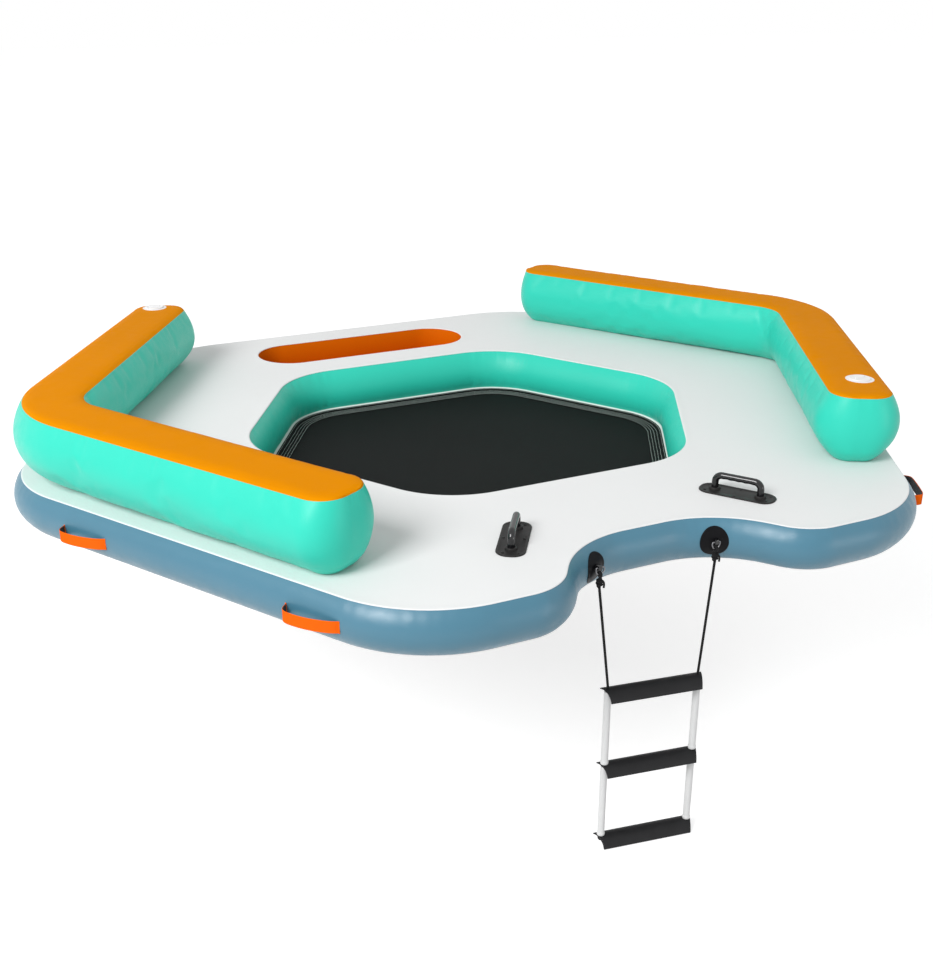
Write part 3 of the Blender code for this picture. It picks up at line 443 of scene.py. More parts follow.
def metal(name, colour, roughness):
    """Plain steel with fine marks."""
    n = painted(name)
    marks = n.noise(n.place(), 160.0, 4.0, 0.7)
    tone = n.blend(n.spread(marks, 0.4, 0.7, 0.0, 1.0), shade(colour, 0.88), colour)
    shine = n.spread(marks, 0.3, 0.75, roughness - 0.06, roughness + 0.12)
    return n.finish(tone, shine, n.bump(marks, 0.0001, 0.3), **{"Metallic": 1.0})


white_pvc = coated_cloth("white_coated_cloth", (0.790, 0.795, 0.795), 0.50, dimples=True, mottle=0.012)
ledge_pvc = coated_cloth("ledge_coated_cloth", (0.760, 0.790, 0.765), 0.50, mottle=0.02)
blue_pvc = coated_cloth("blue_coated_cloth", (0.056, 0.182, 0.262), 0.34, gloss=0.60)
teal_pvc = coated_cloth("teal_coated_cloth", (0.030, 0.600, 0.455), 0.36, gloss=0.30)
orange_pvc = coated_cloth("orange_coated_cloth", (0.700, 0.240, 0.001), 0.44, index=1.08)
trough_pvc = coated_cloth("trough_coated_cloth", (0.620, 0.120, 0.001), 0.48, index=1.15)
# The net's last colour is painted shade for its holes; the first is the thread's own black.
net_cloth = knitted_net("net_mesh", (0.0125, 0.0125, 0.0125), (0.0040, 0.0040, 0.0042))
edge_webbing = webbing("net_border_webbing", (0.011, 0.012, 0.012), (0.005, 0.005, 0.005), 0.06, 0.0)
thread_white = webbing("stitch_thread", (0.52, 0.60, 0.56), (0.30, 0.36, 0.33))
orange_webbing = webbing("strap_webbing", (1.000, 0.155, 0.010), (0.90, 0.120, 0.006), 0.0, 0.0)
black_webbing = webbing("lining_webbing", (0.016, 0.016, 0.018), (0.006, 0.006, 0.006))
black_rubber = moulded("black_rubber_moulding", (0.004, 0.004, 0.005), 0.40, 500.0, 0.0002, 0.12, 0.10)
black_plastic = moulded("black_plastic_moulding", (0.004, 0.004, 0.005), 0.14, 900.0, 0.0001, 0.12, 0.60)
rung_plastic = moulded("rung_plastic_moulding", (0.012, 0.012, 0.013), 0.46, 650.0, 0.0003, 0.12, 0.22)
plate_rubber = moulded("plate_rubber_moulding", (0.020, 0.019, 0.019), 0.46, 420.0, 0.0003, 0.12, 0.15)
white_plastic = moulded("white_plastic_moulding", (0.80, 0.80, 0.80), 0.32, 800.0, 0.00008, 0.02)
tube_plastic = moulded("tube_plastic_moulding", (0.67, 0.675, 0.675), 0.38, 800.0, 0.0001, 0.02)
rope_braid = braid("black_rope_braid", (0.005, 0.005, 0.006), (0.014, 0.014, 0.015))
steel = metal("ring_steel", (0.20, 0.20, 0.21), 0.32)

# Ladder: the ropes' route repeats the frame's
ladder_turn = math.radians(-9)
along_rung = Vector((math.cos(ladder_turn), math.sin(ladder_turn), 0.0))
rung_front = Vector((math.sin(ladder_turn), -math.cos(ladder_turn), 0.0))
rope_radius = 0.0045
fit_gap = 0.0003
bars = {side: Vector((side * 0.22265, -1.38883, 0.084)) for side, _ in SIDES}
rung_tops = [Vector((0.015, -1.37953, -0.396 - 0.297 * step)) for step in range(3)]
ladder_bodies = ("ladder_hanger", "ladder_step_2", "ladder_step_3")
eye_drop = 0.024
eye_radius = 0.0078
knot_low = -0.0466
knot_turns = 2.6
knot_radius = 0.0085


def rope_hole(side, step):
    return rung_tops[step] + along_rung * (side * 0.165)


def build_ropes():
    """Free ropes from their knots to the top rung, and the lengths in the rungs' holes and the tubes."""
    for side, label in SIDES:
        start = bars[side] + UP * (knot_low - eye_drop - fit_gap)
        end = rope_hole(side, 0) + UP * fit_gap
        path = [start.lerp(end, k / 36) for k in range(37)]
        rope = dress(label + "_rope", tube(path, rope_radius, 16), rope_braid, label + "_ladder_rope",
                     "black_rope", "ladder_hanger")
        eye = bars[side] - UP * eye_drop
        ring = [eye + Vector((0.0, math.cos(a), math.sin(a))) * eye_radius
                for a in np.arange(32) * (2 * math.pi / 32)]
        loop = dress(label + "_rope_loop", tube(ring, rope_radius, 14, closed=True), rope_braid,
                     label + "_rope_eye", "black_rope", "ladder_hanger")
        turns = []
        for k in range(60):
            t = k / 59
            angle = 2 * math.pi * knot_turns * t
            swell = knot_radius * (0.62 + 0.38 * math.sin(math.pi * min(1.0, t * 1.15)))
            depth = 0.0175 + 0.0240 * t
            turns.append(eye + Vector((swell * math.cos(angle), swell * math.sin(angle), -depth)))
        tail = [eye + Vector((0.004, -0.004, -0.019)), eye + Vector((0.011, -0.006, -0.026)),
                eye + Vector((0.0125, -0.0075, -0.036)), eye + Vector((0.011, -0.008, -0.046))]
        body = merge(tube(turns, rope_radius, 12), tube(smooth_path(tail, 14), 0.0034, 12),
                     tube([eye - UP * 0.0135, eye - UP * 0.0462], 0.0050, 12))
        knot = dress(label + "_knot", body, rope_braid, label + "_rope_knot", "black_rope", "ladder_hanger")
        for step in (1, 2):
            hole = rope_hole(side, step - 1)
            short = tube([hole - UP * (0.0005 + 0.001 * k) for k in range(5)], rope_radius, 14)
            in_hole = add("%s_hole_rope_%d" % (label, step), *short, rope_braid, ladder_bodies[step - 1])
            top = hole - UP * 0.0057
            low = rope_hole(side, step) + UP * (fit_gap if step == 1 else -0.0048)
            parts = [tube([top.lerp(low, k / 12) for k in range(13)], rope_radius, 14)]
            if step == 2:
                radii = (0.0083, 0.0110, 0.0112, 0.0108, 0.0074, 0.0038)
                drops = (0.0004, 0.0036, 0.0080, 0.0126, 0.0171, 0.0180)
                parts.append(tube([low - UP * d for d in drops], radii, 18))
            dress("%s_tube_rope_%d" % (label, step), merge(*parts), rope_braid,
                  "%s_inner_rope_%d" % (label, step), "black_rope", ladder_bodies[step])


build_ropes()

# Outlines shared by the deck's pieces

SLOPE = math.radians(30)
SLANTED = 1.600
DECK_TOP = 0.1500
WALL_BULGE = 0.034


def crossing(first, second):
    (a, p), (b, q) = first, second
    return np.linalg.solve([[math.cos(a), math.sin(a)], [math.cos(b), math.sin(b)]], [p, q])


def hexagon(slanted, front, back):
    """Corners from +X round anticlockwise, from the sides' distances to the origin."""
    lines = [(-SLOPE, slanted), (SLOPE, slanted), (math.pi / 2, back), (math.pi - SLOPE, slanted),
             (math.pi + SLOPE, slanted), (-math.pi / 2, front)]
    return [crossing(line, lines[(i + 1) % 6]) for i, line in enumerate(lines)]


def box_corners(half_x, half_y, middle=(0.0, 0.0)):
    return [np.array(middle) + (x * half_x, y * half_y) for x, y in ((-1, -1), (1, -1), (1, 1), (-1, 1))]


front_side = 1.570
notch = [(-0.460, -front_side), (-0.270, -1.298), (0.270, -1.298), (0.460, -front_side)]
deck_hexagon = hexagon(SLANTED, front_side, 1.450)
deck_corners = deck_hexagon[:5] + notch + deck_hexagon[5:]
deck_line = rounded(deck_corners, [0.43, 0.56, 0.56, 0.43, 0.45, 0.19, 0.37, 0.37, 0.19, 0.45], 0.007)
well_line = rounded(hexagon(0.856, 0.829, 0.799), [0.34] * 6, 0.008)
trough_line = rounded(box_corners(0.5197, 0.1675, (-0.050, 1.1325)), [0.1674] * 4, 0.008)


def seam_near(distance, reach=0.013):
    """A share that is nothing at a seam, most at reach from it and fades further off."""
    return distance / reach * math.exp(1 - distance / reach)


def puckers(line, wavelengths):
    """Where a welded band puckers: a fine wave that is strong on tight corners, and a slow one."""
    points, _, bends = line
    length = np.linalg.norm(np.diff(points, axis=0), axis=1).sum()
    tight = softened(np.clip(np.abs(bends) / 4.0, 0.0, 1.0), 40)
    fine = (0.12 + tight) * ripple(length, len(points), 4, 1 / wavelengths[1], 1 / wavelengths[0])
    return fine, ripple(length, len(points), 3, 0.8, 3.0)


def band(line, rows, pucker, depth, slow, inward=False, seams=None):
    """Loops of a skin round an outline from (out, z) rows, with puckers near its two seams."""
    sign = -1 if inward else 1
    low, high = seams or (rows[0][1], rows[-1][1])
    loops = []
    for out, z in rows:
        shift = 0.0
        if low < z < high:
            middle = math.sin(math.pi * (z - low) / (high - low))
            shift = pucker[0] * depth * seam_near(min(z - low, high - z)) + pucker[1] * slow * middle
        loops.append(loop_at(line, sign * out + sign * shift, z))
    return loops


def build_deck():
    """The two skins with their welded rims, and the wall that the air bulges."""
    edge = [(-0.0020, 0.1455), (0.0006, 0.1466), (0.0016, 0.1482), (0.0012, 0.1497), (-0.0004, 0.1508),
            (-0.0030, 0.1510), (-0.0080, 0.1508), (-0.0200, 0.1504), (-0.0300, 0.1501), (-0.0400, 0.1500),
            (-0.0600, 0.1500)]
    lip = [(0.0500, 0.1500), (0.0320, 0.1500), (0.0220, 0.1503), (0.0120, 0.1508), (0.0060, 0.1511),
           (0.0030, 0.1511), (0.0008, 0.1508), (-0.0012, 0.1499), (-0.0020, 0.1484), (-0.0014, 0.1468),
           (0.0006, 0.1458)]
    wave = puckers(deck_line, (0.05, 0.14))
    outer = []
    for out, z in edge:
        ease = max(0.0, 1 - abs(out + 0.012) / 0.04)
        outer.append(loop_at(deck_line, out, z + wave[0] * 0.0005 * ease))
    parts = [lattice(outer), lattice([loop_at(well_line, o, z) for o, z in lip]),
             lattice([loop_at(trough_line, o, z) for o, z in lip])]
    parts.append(fill([outer[-1], loop_at(well_line, *lip[0]), loop_at(trough_line, *lip[0])]))
    dress("deck_top", merge(*parts), white_pvc, "deck_top_skin", "white_pvc")

    edge = [(-0.0500, 0.0), (-0.0040, 0.0), (0.0002, 0.0004), (0.0014, 0.0018), (0.0010, 0.0034),
            (-0.0015, 0.0046)]
    rim = [loop_at(deck_line, out, z) for out, z in edge]
    hole = [loop_at(well_line, out, z) for out, z in ((0.0450, 0.0), (-0.0150, 0.0))]
    floor = fill([rim[0], hole[0]], up=False)
    bottom = merge(lattice(rim), lattice([hole[1], hole[0]]), floor)
    dress("deck_bottom", bottom, white_pvc, "deck_bottom_skin", "white_pvc")

    seam = 0.0018
    rows = arc_rows(seam, DECK_TOP - seam, WALL_BULGE, 26)
    loops = band(deck_line, rows, puckers(deck_line, (0.030, 0.110)), 0.0009, 0.0010)
    dress("deck_side", lattice(loops), blue_pvc, "outer_side_wall deck_core", "blue_pvc")


def well_shape(bands):
    """(out, z) rows of the well's wall: it bulges into the well and leans in towards the net."""
    low, high, lean = -0.0200, 0.1478, 0.038
    return [(out + lean * (high - z) / (high - low), z) for out, z in arc_rows(low, high, 0.030, bands)]


def build_well():
    """The well's wall, the ledge under it, the net and its stitched border."""
    pucker = puckers(well_line, (0.025, 0.09))
    loops = band(well_line, well_shape(24), pucker, 0.0022, 0.0015, inward=True)
    dress("well_side", lattice(loops[::-1]), teal_pvc, "well_wall", "teal_pvc")

    rows = [(0.033, -0.0205), (0.038, -0.0203), (0.0405, -0.0210), (0.050, -0.0275), (0.060, -0.0345),
            (0.0635, -0.0368), (0.0670, -0.0373), (0.092, -0.0373)]
    wave = puckers(well_line, (0.05, 0.16))[0]
    loops = []
    for out, z in rows:
        on_slope = 0.04 < out < 0.063
        loops.append(loop_at(well_line, -out, z + wave * (0.0012 if on_slope else 0.0)))
    dress("well_ledge", lattice(loops), ledge_pvc, "well_flange", "white_pvc")

    edge = loop_at(well_line, -0.0675, -0.0352)
    centre = np.array((0.0, -0.010, 0.0))
    shares = (1.0, 0.93, 0.84, 0.72, 0.58, 0.42, 0.24, 0.08, 0.0)
    rows = []
    for share in shares:
        row = centre + (edge - centre) * (share, share, 1.0)
        row[:, 2] -= 0.0016 * (1 - share ** 4)
        rows.append(row)
    verts, faces, _ = lattice(rows)
    part = (verts, faces, plan_uvs(verts, faces))
    net = dress("well_mesh", part, net_cloth, "well_net", "black_net", smooth=180)

    wave = puckers(well_line, (0.03, 0.08))[0]
    rows = [(0.1105, -0.0349), (0.1108, -0.0338), (0.1098, -0.0330), (0.1000, -0.0329), (0.0870, -0.0328),
            (0.0740, -0.0328), (0.0650, -0.0320), (0.0580, -0.0295), (0.0520, -0.0254), (0.0490, -0.0233),
            (0.0482, -0.0236), (0.0484, -0.0262)]
    loops = [loop_at(well_line, -out, z + wave * 0.0006) for out, z in rows]
    dress("net_edge", lattice(loops[::-1]), edge_webbing, "net_border", "black_webbing")
    build_stitches(wave)


def build_stitches(wave):
    """Rows of running stitches along the net's border band."""
    pitch, length, half_width, rise = 0.0082, 0.0058, (0.0006, 0.0013, 0.0006), (0.0, 0.0009, 0.0)
    stitch_rows = ((0.0530, -0.0258), (0.0660, -0.0320), (0.0790, -0.0326), (0.0920, -0.0327),
                   (0.1050, -0.0327))
    parts_verts, faces, uvs = [], [], []
    for row, (inset, z) in enumerate(stitch_rows):
        line = loop_at(well_line, -inset, z + wave * 0.0006)
        wander = ripple(5.0, len(line), 3, 6, 20) * 0.0009
        line[:, :2] += well_line[1] * wander[:, None]
        closed = np.vstack([line, line[:1]])
        steps = np.linalg.norm(np.diff(closed, axis=0), axis=1)
        s = np.concatenate([[0.0], np.cumsum(steps)])
        count = int(s[-1] / pitch)
        for k in range(count):
            begin = (k + 0.13 * (row % 3)) * s[-1] / count
            places = [np.array([np.interp((begin + d) % s[-1], s, closed[:, i]) for i in range(3)])
                      for d in (0.0, length / 2, length)]
            along = places[2] - places[0]
            across = np.array((-along[1], along[0], 0.0))
            across /= np.linalg.norm(across)
            start = sum(len(v) for v in parts_verts)
            rings = []
            for place, half, up in zip(places, half_width, rise):
                rings += [place - across * half, place + (0, 0, up + 0.0005), place + across * half]
            parts_verts.append(np.array(rings))
            for j in (0, 3):
                for a, b in ((0, 1), (1, 2)):
                    faces.append(tuple(start + j + i for i in (a, b, b + 3, a + 3))[::-1])
                    uvs.append(((0, 0), (0, 0.001), (0.003, 0.001), (0.003, 0)))
    stitches = add("net_stitches", np.concatenate(parts_verts), faces, uvs, thread_white, smooth=180)


def build_trough():
    """The trough's bulged wall, rounded over into its floor."""
    bend_top, bend_reach, bend_drop = 0.0180, 0.0162, 0.0148
    wall = [(-out, z) for out, z in arc_rows(bend_top, 0.1480, 0.012, 14)][::-1]
    bend = [(-bend_reach * (1 - math.cos(a)) - 0.0002, bend_top - bend_drop * math.sin(a))
            for a in np.linspace(0.2, math.pi / 2, 7)]
    loops = [loop_at(trough_line, out, z) for out, z in wall + bend]
    part = merge(lattice(loops), fill([loops[-1]]))
    dress("trough_lining", part, trough_pvc, "trough_liner", "orange_liner")


build_deck()
build_well()
build_trough()


# Backrests

OUTER_APOTHEM = 1.569
BACKREST_WIDTH = 0.228
BACK_SHIFT = 0.018
END_RADIUS = 0.090
TOP_WELD = 0.4063


def backrest_legs(side):
    """Whether it is the front one, and the reach from the deck's sharp corner, for each leg."""
    return (True, 1.488 if side < 0 else 1.446), (False, 1.552)


def leg_point(side, front, apothem, along):
    """A plan point of a backrest's leg: apothem from the origin, along from the deck's sharp corner."""
    forward = -1 if front else 1
    normal = Vector((side * math.cos(SLOPE), forward * math.sin(SLOPE)))
    tangent = Vector((-side * math.sin(SLOPE), forward * math.cos(SLOPE)))
    return normal * apothem + tangent * (along - SLANTED * math.tan(SLOPE))


def chain(corners, radii, counts):
    """Points and normals along an open line with arcs at its inner corners; the ends are straight."""
    corners = [Vector(c) for c in corners]
    points, normals = [], []
    turns = []
    for before, corner, after, radius in zip(corners, corners[1:], corners[2:], radii):
        back = (before - corner).normalized()
        ahead = (after - corner).normalized()
        half_turn = (math.pi - back.angle(ahead)) / 2
        centre = corner + (back + ahead).normalized() * (radius / math.cos(half_turn))
        start = corner + back * (radius * math.tan(half_turn))
        left_turn = back.x * ahead.y - back.y * ahead.x < 0
        turns.append((centre, start - centre, 2 * half_turn * (1 if left_turn else -1), left_turn))
    for index, ((centre, arm, turn, left_turn), count) in enumerate(zip(turns, counts[::2])):
        for step in range(count + 1):
            ray = Matrix.Rotation(turn * step / count, 2) @ arm
            points.append(centre + ray)
            normals.append(ray.normalized() * (1 if left_turn else -1))
        if index + 1 < len(turns):
            end = turns[index + 1][0] + turns[index + 1][1]
            start = points[-1]
            legs = counts[2 * index + 1]
            for step in range(1, legs):
                points.append(start.lerp(end, step / legs))
                normals.append(normals[-1])
    return points, normals


def backrest_grid(side):
    """Matching outer and inner lines of a backrest, from its front end round to its back end."""
    (_, front), (_, back) = backrest_legs(side)
    inner_apothem = OUTER_APOTHEM - BACKREST_WIDTH
    middle = (OUTER_APOTHEM + inner_apothem) / 2
    ends = leg_point(side, True, middle, front), leg_point(side, False, middle + BACK_SHIFT, back)
    lines = []
    for apothem, radius in ((OUTER_APOTHEM, 0.500), (inner_apothem, 0.170)):
        corner = Vector((side * (apothem + BACK_SHIFT / 2) / math.cos(SLOPE), BACK_SHIFT))
        line = [ends[0], leg_point(side, True, apothem, front), corner,
                leg_point(side, False, apothem + BACK_SHIFT, back), ends[1]]
        lines.append(chain(line, (END_RADIUS, radius, END_RADIUS), (8, 74, 20, 78, 8)))
    return lines


ACROSS = (0.0, 0.03, 0.07, 0.13, 0.20, 0.29, 0.39, 0.5, 0.61, 0.71, 0.80, 0.87, 0.93, 0.97, 1.0)
BACKREST_SIDE = ((-0.0800, 0.1503), (-0.0660, 0.1550), (-0.0500, 0.1625), (-0.0340, 0.1715),
                 (-0.0180, 0.1820), (-0.0030, 0.1935), (0.0110, 0.2085), (0.0232, 0.2275),
                 (0.0330, 0.2490), (0.0389, 0.2740), (0.0400, 0.2960), (0.0374, 0.3200),
                 (0.0307, 0.3450), (0.0207, 0.3690), (0.0102, 0.3890), (0.0030, 0.4010),
                 (0.0000, TOP_WELD))


def press_out(piece, welded, limit):
    """Air presses a cloth out; its welded edges stay and no point moves past the limit."""
    steps = 20
    scene = bpy.context.scene
    mesh = piece.data
    weld = piece.vertex_groups.new(name="weld")
    weld.add([int(i) for i in welded], 1.0, "REPLACE")
    cloth = piece.modifiers.new("air", "CLOTH")
    cloth.settings.effector_weights.gravity = 0.0
    settings = {"vertex_group_mass": "weld", "use_pressure": True, "uniform_pressure_force": 4.0,
                "tension_stiffness": 80.0, "compression_stiffness": 40.0, "shear_stiffness": 30.0,
                "bending_stiffness": 8.0, "shrink_min": -0.004, "quality": 4}
    for key, value in settings.items():
        setattr(cloth.settings, key, value)
    cloth.point_cache.frame_start = 1
    cloth.point_cache.frame_end = steps
    for step in range(1, steps + 1):
        scene.frame_set(step)
    seen = piece.evaluated_get(bpy.context.evaluated_depsgraph_get())
    rest = np.empty(3 * len(mesh.vertices))
    pressed = np.empty(3 * len(mesh.vertices))
    mesh.vertices.foreach_get("co", rest)
    seen.data.vertices.foreach_get("co", pressed)
    piece.modifiers.remove(cloth)
    piece.vertex_groups.remove(weld)
    scene.frame_set(1)
    move = (pressed - rest).reshape(-1, 3)
    length = np.linalg.norm(move, axis=1, keepdims=True)
    move *= limit * np.tanh(length / limit) / np.maximum(length, 1e-9)
    mesh.vertices.foreach_set("co", rest + move.ravel())
    mesh.update()


def backrest_outline(outer_side, inner_side):
    """The closed outline of a backrest, anticlockwise: points and outward normals."""
    (outer, outer_normals), (inner, inner_normals) = outer_side, inner_side
    ends = []
    for end, further in ((-1, -30), (0, 30)):
        cut = [outer[end].lerp(inner[end], w) for w in ACROSS[1:-1]]
        away = (cut[6] - outer[further].lerp(inner[further], 0.5)).normalized()
        ends.append([(p, away) for p in cut])
    ring = list(zip(outer, outer_normals)) + ends[0]
    ring += list(zip(inner, inner_normals))[::-1] + ends[1][::-1]
    area = sum(ring[k - 1][0].x * ring[k][0].y - ring[k - 1][0].y * ring[k][0].x for k in range(len(ring)))
    if area < 0:
        ring.reverse()
    normals = []
    for index, (_, normal) in enumerate(ring):
        along = ring[(index + 1) % len(ring)][0] - ring[index - 1][0]
        normals.append(normal if along.y * normal.x - along.x * normal.y > 0 else -normal)
    return np.array([p for p, _ in ring]), np.array(normals)


def eased_normals(side, points, normals):
    """Directions for the tucked foot and for the bulge above it, both weaker towards the legs' ends."""
    foot, wide = normals.copy(), normals.copy()
    for front, leg in backrest_legs(side):
        tangent = np.array(leg_point(side, front, 0.0, 2.0) - leg_point(side, front, 0.0, 1.0))
        along = points @ tangent + SLANTED * math.tan(SLOPE)
        ramp = np.clip((along - 0.300) / (leg - 0.390), 0.0, 1.0)[:, None]
        ahead = (normals @ tangent)[:, None] * tangent
        at_end = (along > leg - 0.0905)[:, None]
        eased = (normals - ahead) * (1 - 0.40 * ramp) + ahead * np.where(at_end, 0.55, 1.0)
        foot = np.where(ramp > 0, eased, foot)
        wide = np.where(at_end, wide - 0.60 * ahead, wide)
    return foot, wide


def build_backrest(side, label):
    """A wall welded to the deck and to the crowned panel on top of it, both pressed out by the air."""
    outer_side, inner_side = backrest_grid(side)
    points, normals = backrest_outline(outer_side, inner_side)
    profile = smooth_path([Vector((o, z, 0.0)) for o, z in BACKREST_SIDE], 40)
    rows = [(p.x, p.y) for p in profile]
    length = np.linalg.norm(np.diff(points, axis=0), axis=1).sum()
    wave = 0.35 * ripple(length, len(points), 4, 7, 22)
    slow = ripple(length, len(points), 3, 0.8, 2.5)
    foot, wide = eased_normals(side, points, normals)
    low = next(index for index, (out, _) in enumerate(rows) if out >= 0)
    loops = []
    for ways, part in ((foot, rows[:low]), (wide, rows[low:])):
        loops += band((points, ways), part, (wave, slow), 0.0022, 0.0015, seams=(DECK_TOP, TOP_WELD))
    body = dress(label + "_backrest_sides", lattice(loops), teal_pvc, label + "_backrest_bladder",
                 "teal_pvc")
    heights = np.array([v.co.z for v in body.data.vertices])
    press_out(body, np.where((heights < DECK_TOP + 0.0012) | (heights > TOP_WELD - 0.0008))[0], 0.005)

    crown_run, crown_rise = 0.034, 0.0100
    grid = []
    for o, i in zip(outer_side[0], inner_side[0]):
        row = []
        for w in ACROSS:
            point = o.lerp(i, w)
            reach = min(crown_run, np.sqrt(((points - np.array(point)) ** 2).sum(axis=1)).min())
            rise = crown_rise * math.sqrt(1 - (1 - reach / crown_run) ** 2)
            row.append((point.x, point.y, TOP_WELD + rise))
        grid.append(row)
    verts, faces, _ = facing(lattice(grid, wrap=False), 40, UP)
    part = (verts, faces, plan_uvs(verts, faces))
    panel = dress(label + "_backrest_top", part, orange_pvc, label + "_backrest_top_panel", "orange_pvc")
    heights = np.array([v.co.z for v in panel.data.vertices])
    press_out(panel, np.where(heights < TOP_WELD + 0.0002)[0], 0.002)


for side, label in SIDES:
    build_backrest(side, label)


# Valves

def grooved(profile, sides, grooves, depth, band):
    """A turned piece whose rim carries grip grooves; band is two heights and the least radius."""
    angles = np.arange(sides) * (2 * math.pi / sides)
    cut = depth * np.clip(np.cos(angles * grooves) * 1.6 - 0.5, 0.0, 1.0)
    rows = []
    for r, z in profile:
        radii = r - (cut if band[0] < z < band[1] and r > band[2] else 0.0)
        rows.append(ring_row(radii, z, angles))
    return lattice(rows, caps=(True, True))


def bar_piece(half, rise, bevel):
    """A low bar across a cap with rounded ends and shoulders, its foot at z 0."""
    line = rounded(box_corners(*half), [half[1] * 0.9] * 4, 0.0015)
    rows = [(0.0, 0.0), (0.0, rise - bevel), (-bevel * 0.3, rise - bevel * 0.3), (-bevel, rise)]
    return lattice([loop_at(line, out, z) for out, z in rows], caps=(False, True))


def build_valve(label, place):
    """A ring with a socket, a grooved lid with a bar across it, and a dark plunger inside."""
    flange = [(0.0150, -0.0350), (0.0188, -0.0350), (0.0190, 0.0002), (0.0525, 0.0002), (0.0530, 0.0010),
              (0.0528, 0.0022), (0.0515, 0.0030), (0.0490, 0.0033), (0.0476, 0.0029), (0.0468, 0.0024),
              (0.0445, 0.0022), (0.0432, 0.0026), (0.0424, 0.0032), (0.0150, 0.0033), (0.0146, 0.0030),
              (0.0146, -0.0350), (0.0150, -0.0350)]
    body = placed(turned(flange, 72), place)
    dress(label + "_valve_ring", body, white_plastic, label + "_valve_body", "white_plastic")
    profile = [(0.0138, -0.0070), (0.0138, 0.0036), (0.0392, 0.0036), (0.0398, 0.0040), (0.0400, 0.0046),
               (0.0400, 0.0066), (0.0396, 0.0072), (0.0388, 0.0076), (0.0345, 0.0077), (0.0335, 0.0074),
               (0.0328, 0.0068), (0.0300, 0.0066), (0.0120, 0.0066)]
    lid = grooved(profile, 144, 24, 0.0013, (0.0038, 0.0074, 0.0350))
    bar = placed(bar_piece((0.0230, 0.0035), 0.0048, 0.0012), Matrix.Translation((0.0, 0.0, 0.0066)))
    dress(label + "_valve_lid", placed(merge(lid, bar), place), white_plastic, label + "_valve_cap",
          "white_plastic", label + "_valve_cap")
    for slot in bpy.data.objects[label + "_valve_plunger"].material_slots:
        slot.material = black_plastic


build_valve("left", Matrix.Translation((-1.01809, 1.22662, 0.4163)))
build_valve("right", Matrix.Translation((1.12200, -1.01064, 0.4163)))
build_valve("deck", Matrix.Translation((0.780436, 1.1, 0.0)) @ Matrix.Rotation(math.pi, 4, "X"))


# Grab handles

def build_handle(side, label):
    """An oval plate with two bosses and six rivets, and a bar with finger waves that arches over it."""
    place = (Matrix.Translation((side * 0.436, -1.209, DECK_TOP + fit_gap))
             @ Matrix.Rotation(-side * math.radians(56), 4, "Z"))
    foot, top, bend, thickness = 0.0815, 0.056, 0.024, 0.0240
    line = rounded(box_corners(0.135, 0.0480), [0.042] * 4, 0.004)
    rows = [(0.0, 0.0), (0.0002, 0.0020), (-0.0006, 0.0034), (-0.0020, 0.0040), (-0.0080, 0.0040),
            (-0.0092, 0.0034), (-0.0100, 0.0030), (-0.0260, 0.0031), (-0.0400, 0.0033)]
    parts = [lattice([loop_at(line, out, z) for out, z in rows], caps=(True, True))]
    boss = [(0.0205, 0.0028), (0.0196, 0.0080), (0.0190, 0.0102), (0.0178, 0.0112), (0.0140, 0.0114),
            (0.0126, 0.0112), (0.0123, 0.0100), (0.0123, 0.0045)]
    rivet = [(0.0052, 0.0030), (0.0050, 0.0040), (0.0042, 0.0048), (0.0024, 0.0053), (0.0006, 0.0054)]
    for end in (-1, 1):
        parts.append(placed(turned(boss, 48), Matrix.Translation((end * foot, 0.0, 0.0))))
        for x, y in ((0.110, 0.024), (0.110, -0.024), (0.0, 0.034)):
            spot = Matrix.Translation((end * x, y if x else end * y, 0.0))
            parts.append(placed(turned(rivet, 20), spot))
    dress(label + "_handle_plate", placed(merge(*parts), place), plate_rubber, label + "_grab_plate",
          "black_rubber")

    path = [Vector((-foot, 0.0, 0.0043)), Vector((-foot, 0.0, 0.0190))]
    for step in range(13):
        angle = math.pi / 2 * step / 12
        path.append(Vector((bend * (1 - math.cos(angle)) - foot, 0.0, top - bend * (1 - math.sin(angle)))))
    half = foot - bend
    path += [Vector((-half + 2 * half * k / 60, 0.0, top)) for k in range(1, 60)]
    path += [Vector((-p.x, 0.0, p.z)) for p in path[14::-1]]
    waved = half * 0.93

    def grip(index, ray):
        x = path[index].x
        if abs(x) > waved or ray.z > 0.3:
            return 1.0
        groove = 0.5 - 0.5 * math.cos(2 * math.pi * (x / (2 * waved) + 0.5) * 4)
        return 1.0 - 0.10 * groove * min(1.0, 0.3 - ray.z)

    bar = placed(tube(path, thickness / 2, 28, shape=grip), place)
    dress(label + "_handle_grip", bar, black_plastic, label + "_grab_grip", "black_rubber")


# Carry straps

STRAP_ARCHES = {
    "slack": ((0.00, 0.00), (0.025, 0.45), (0.07, 0.80), (0.16, 0.98), (0.30, 1.00), (0.46, 0.93),
              (0.62, 0.78), (0.76, 0.58), (0.88, 0.36), (0.96, 0.15), (1.00, 0.00)),
    "square": ((0.00, 0.00), (0.02, 0.48), (0.06, 0.82), (0.14, 0.95), (0.32, 0.99), (0.50, 1.00),
               (0.68, 0.99), (0.86, 0.95), (0.94, 0.82), (0.98, 0.48), (1.00, 0.00)),
}


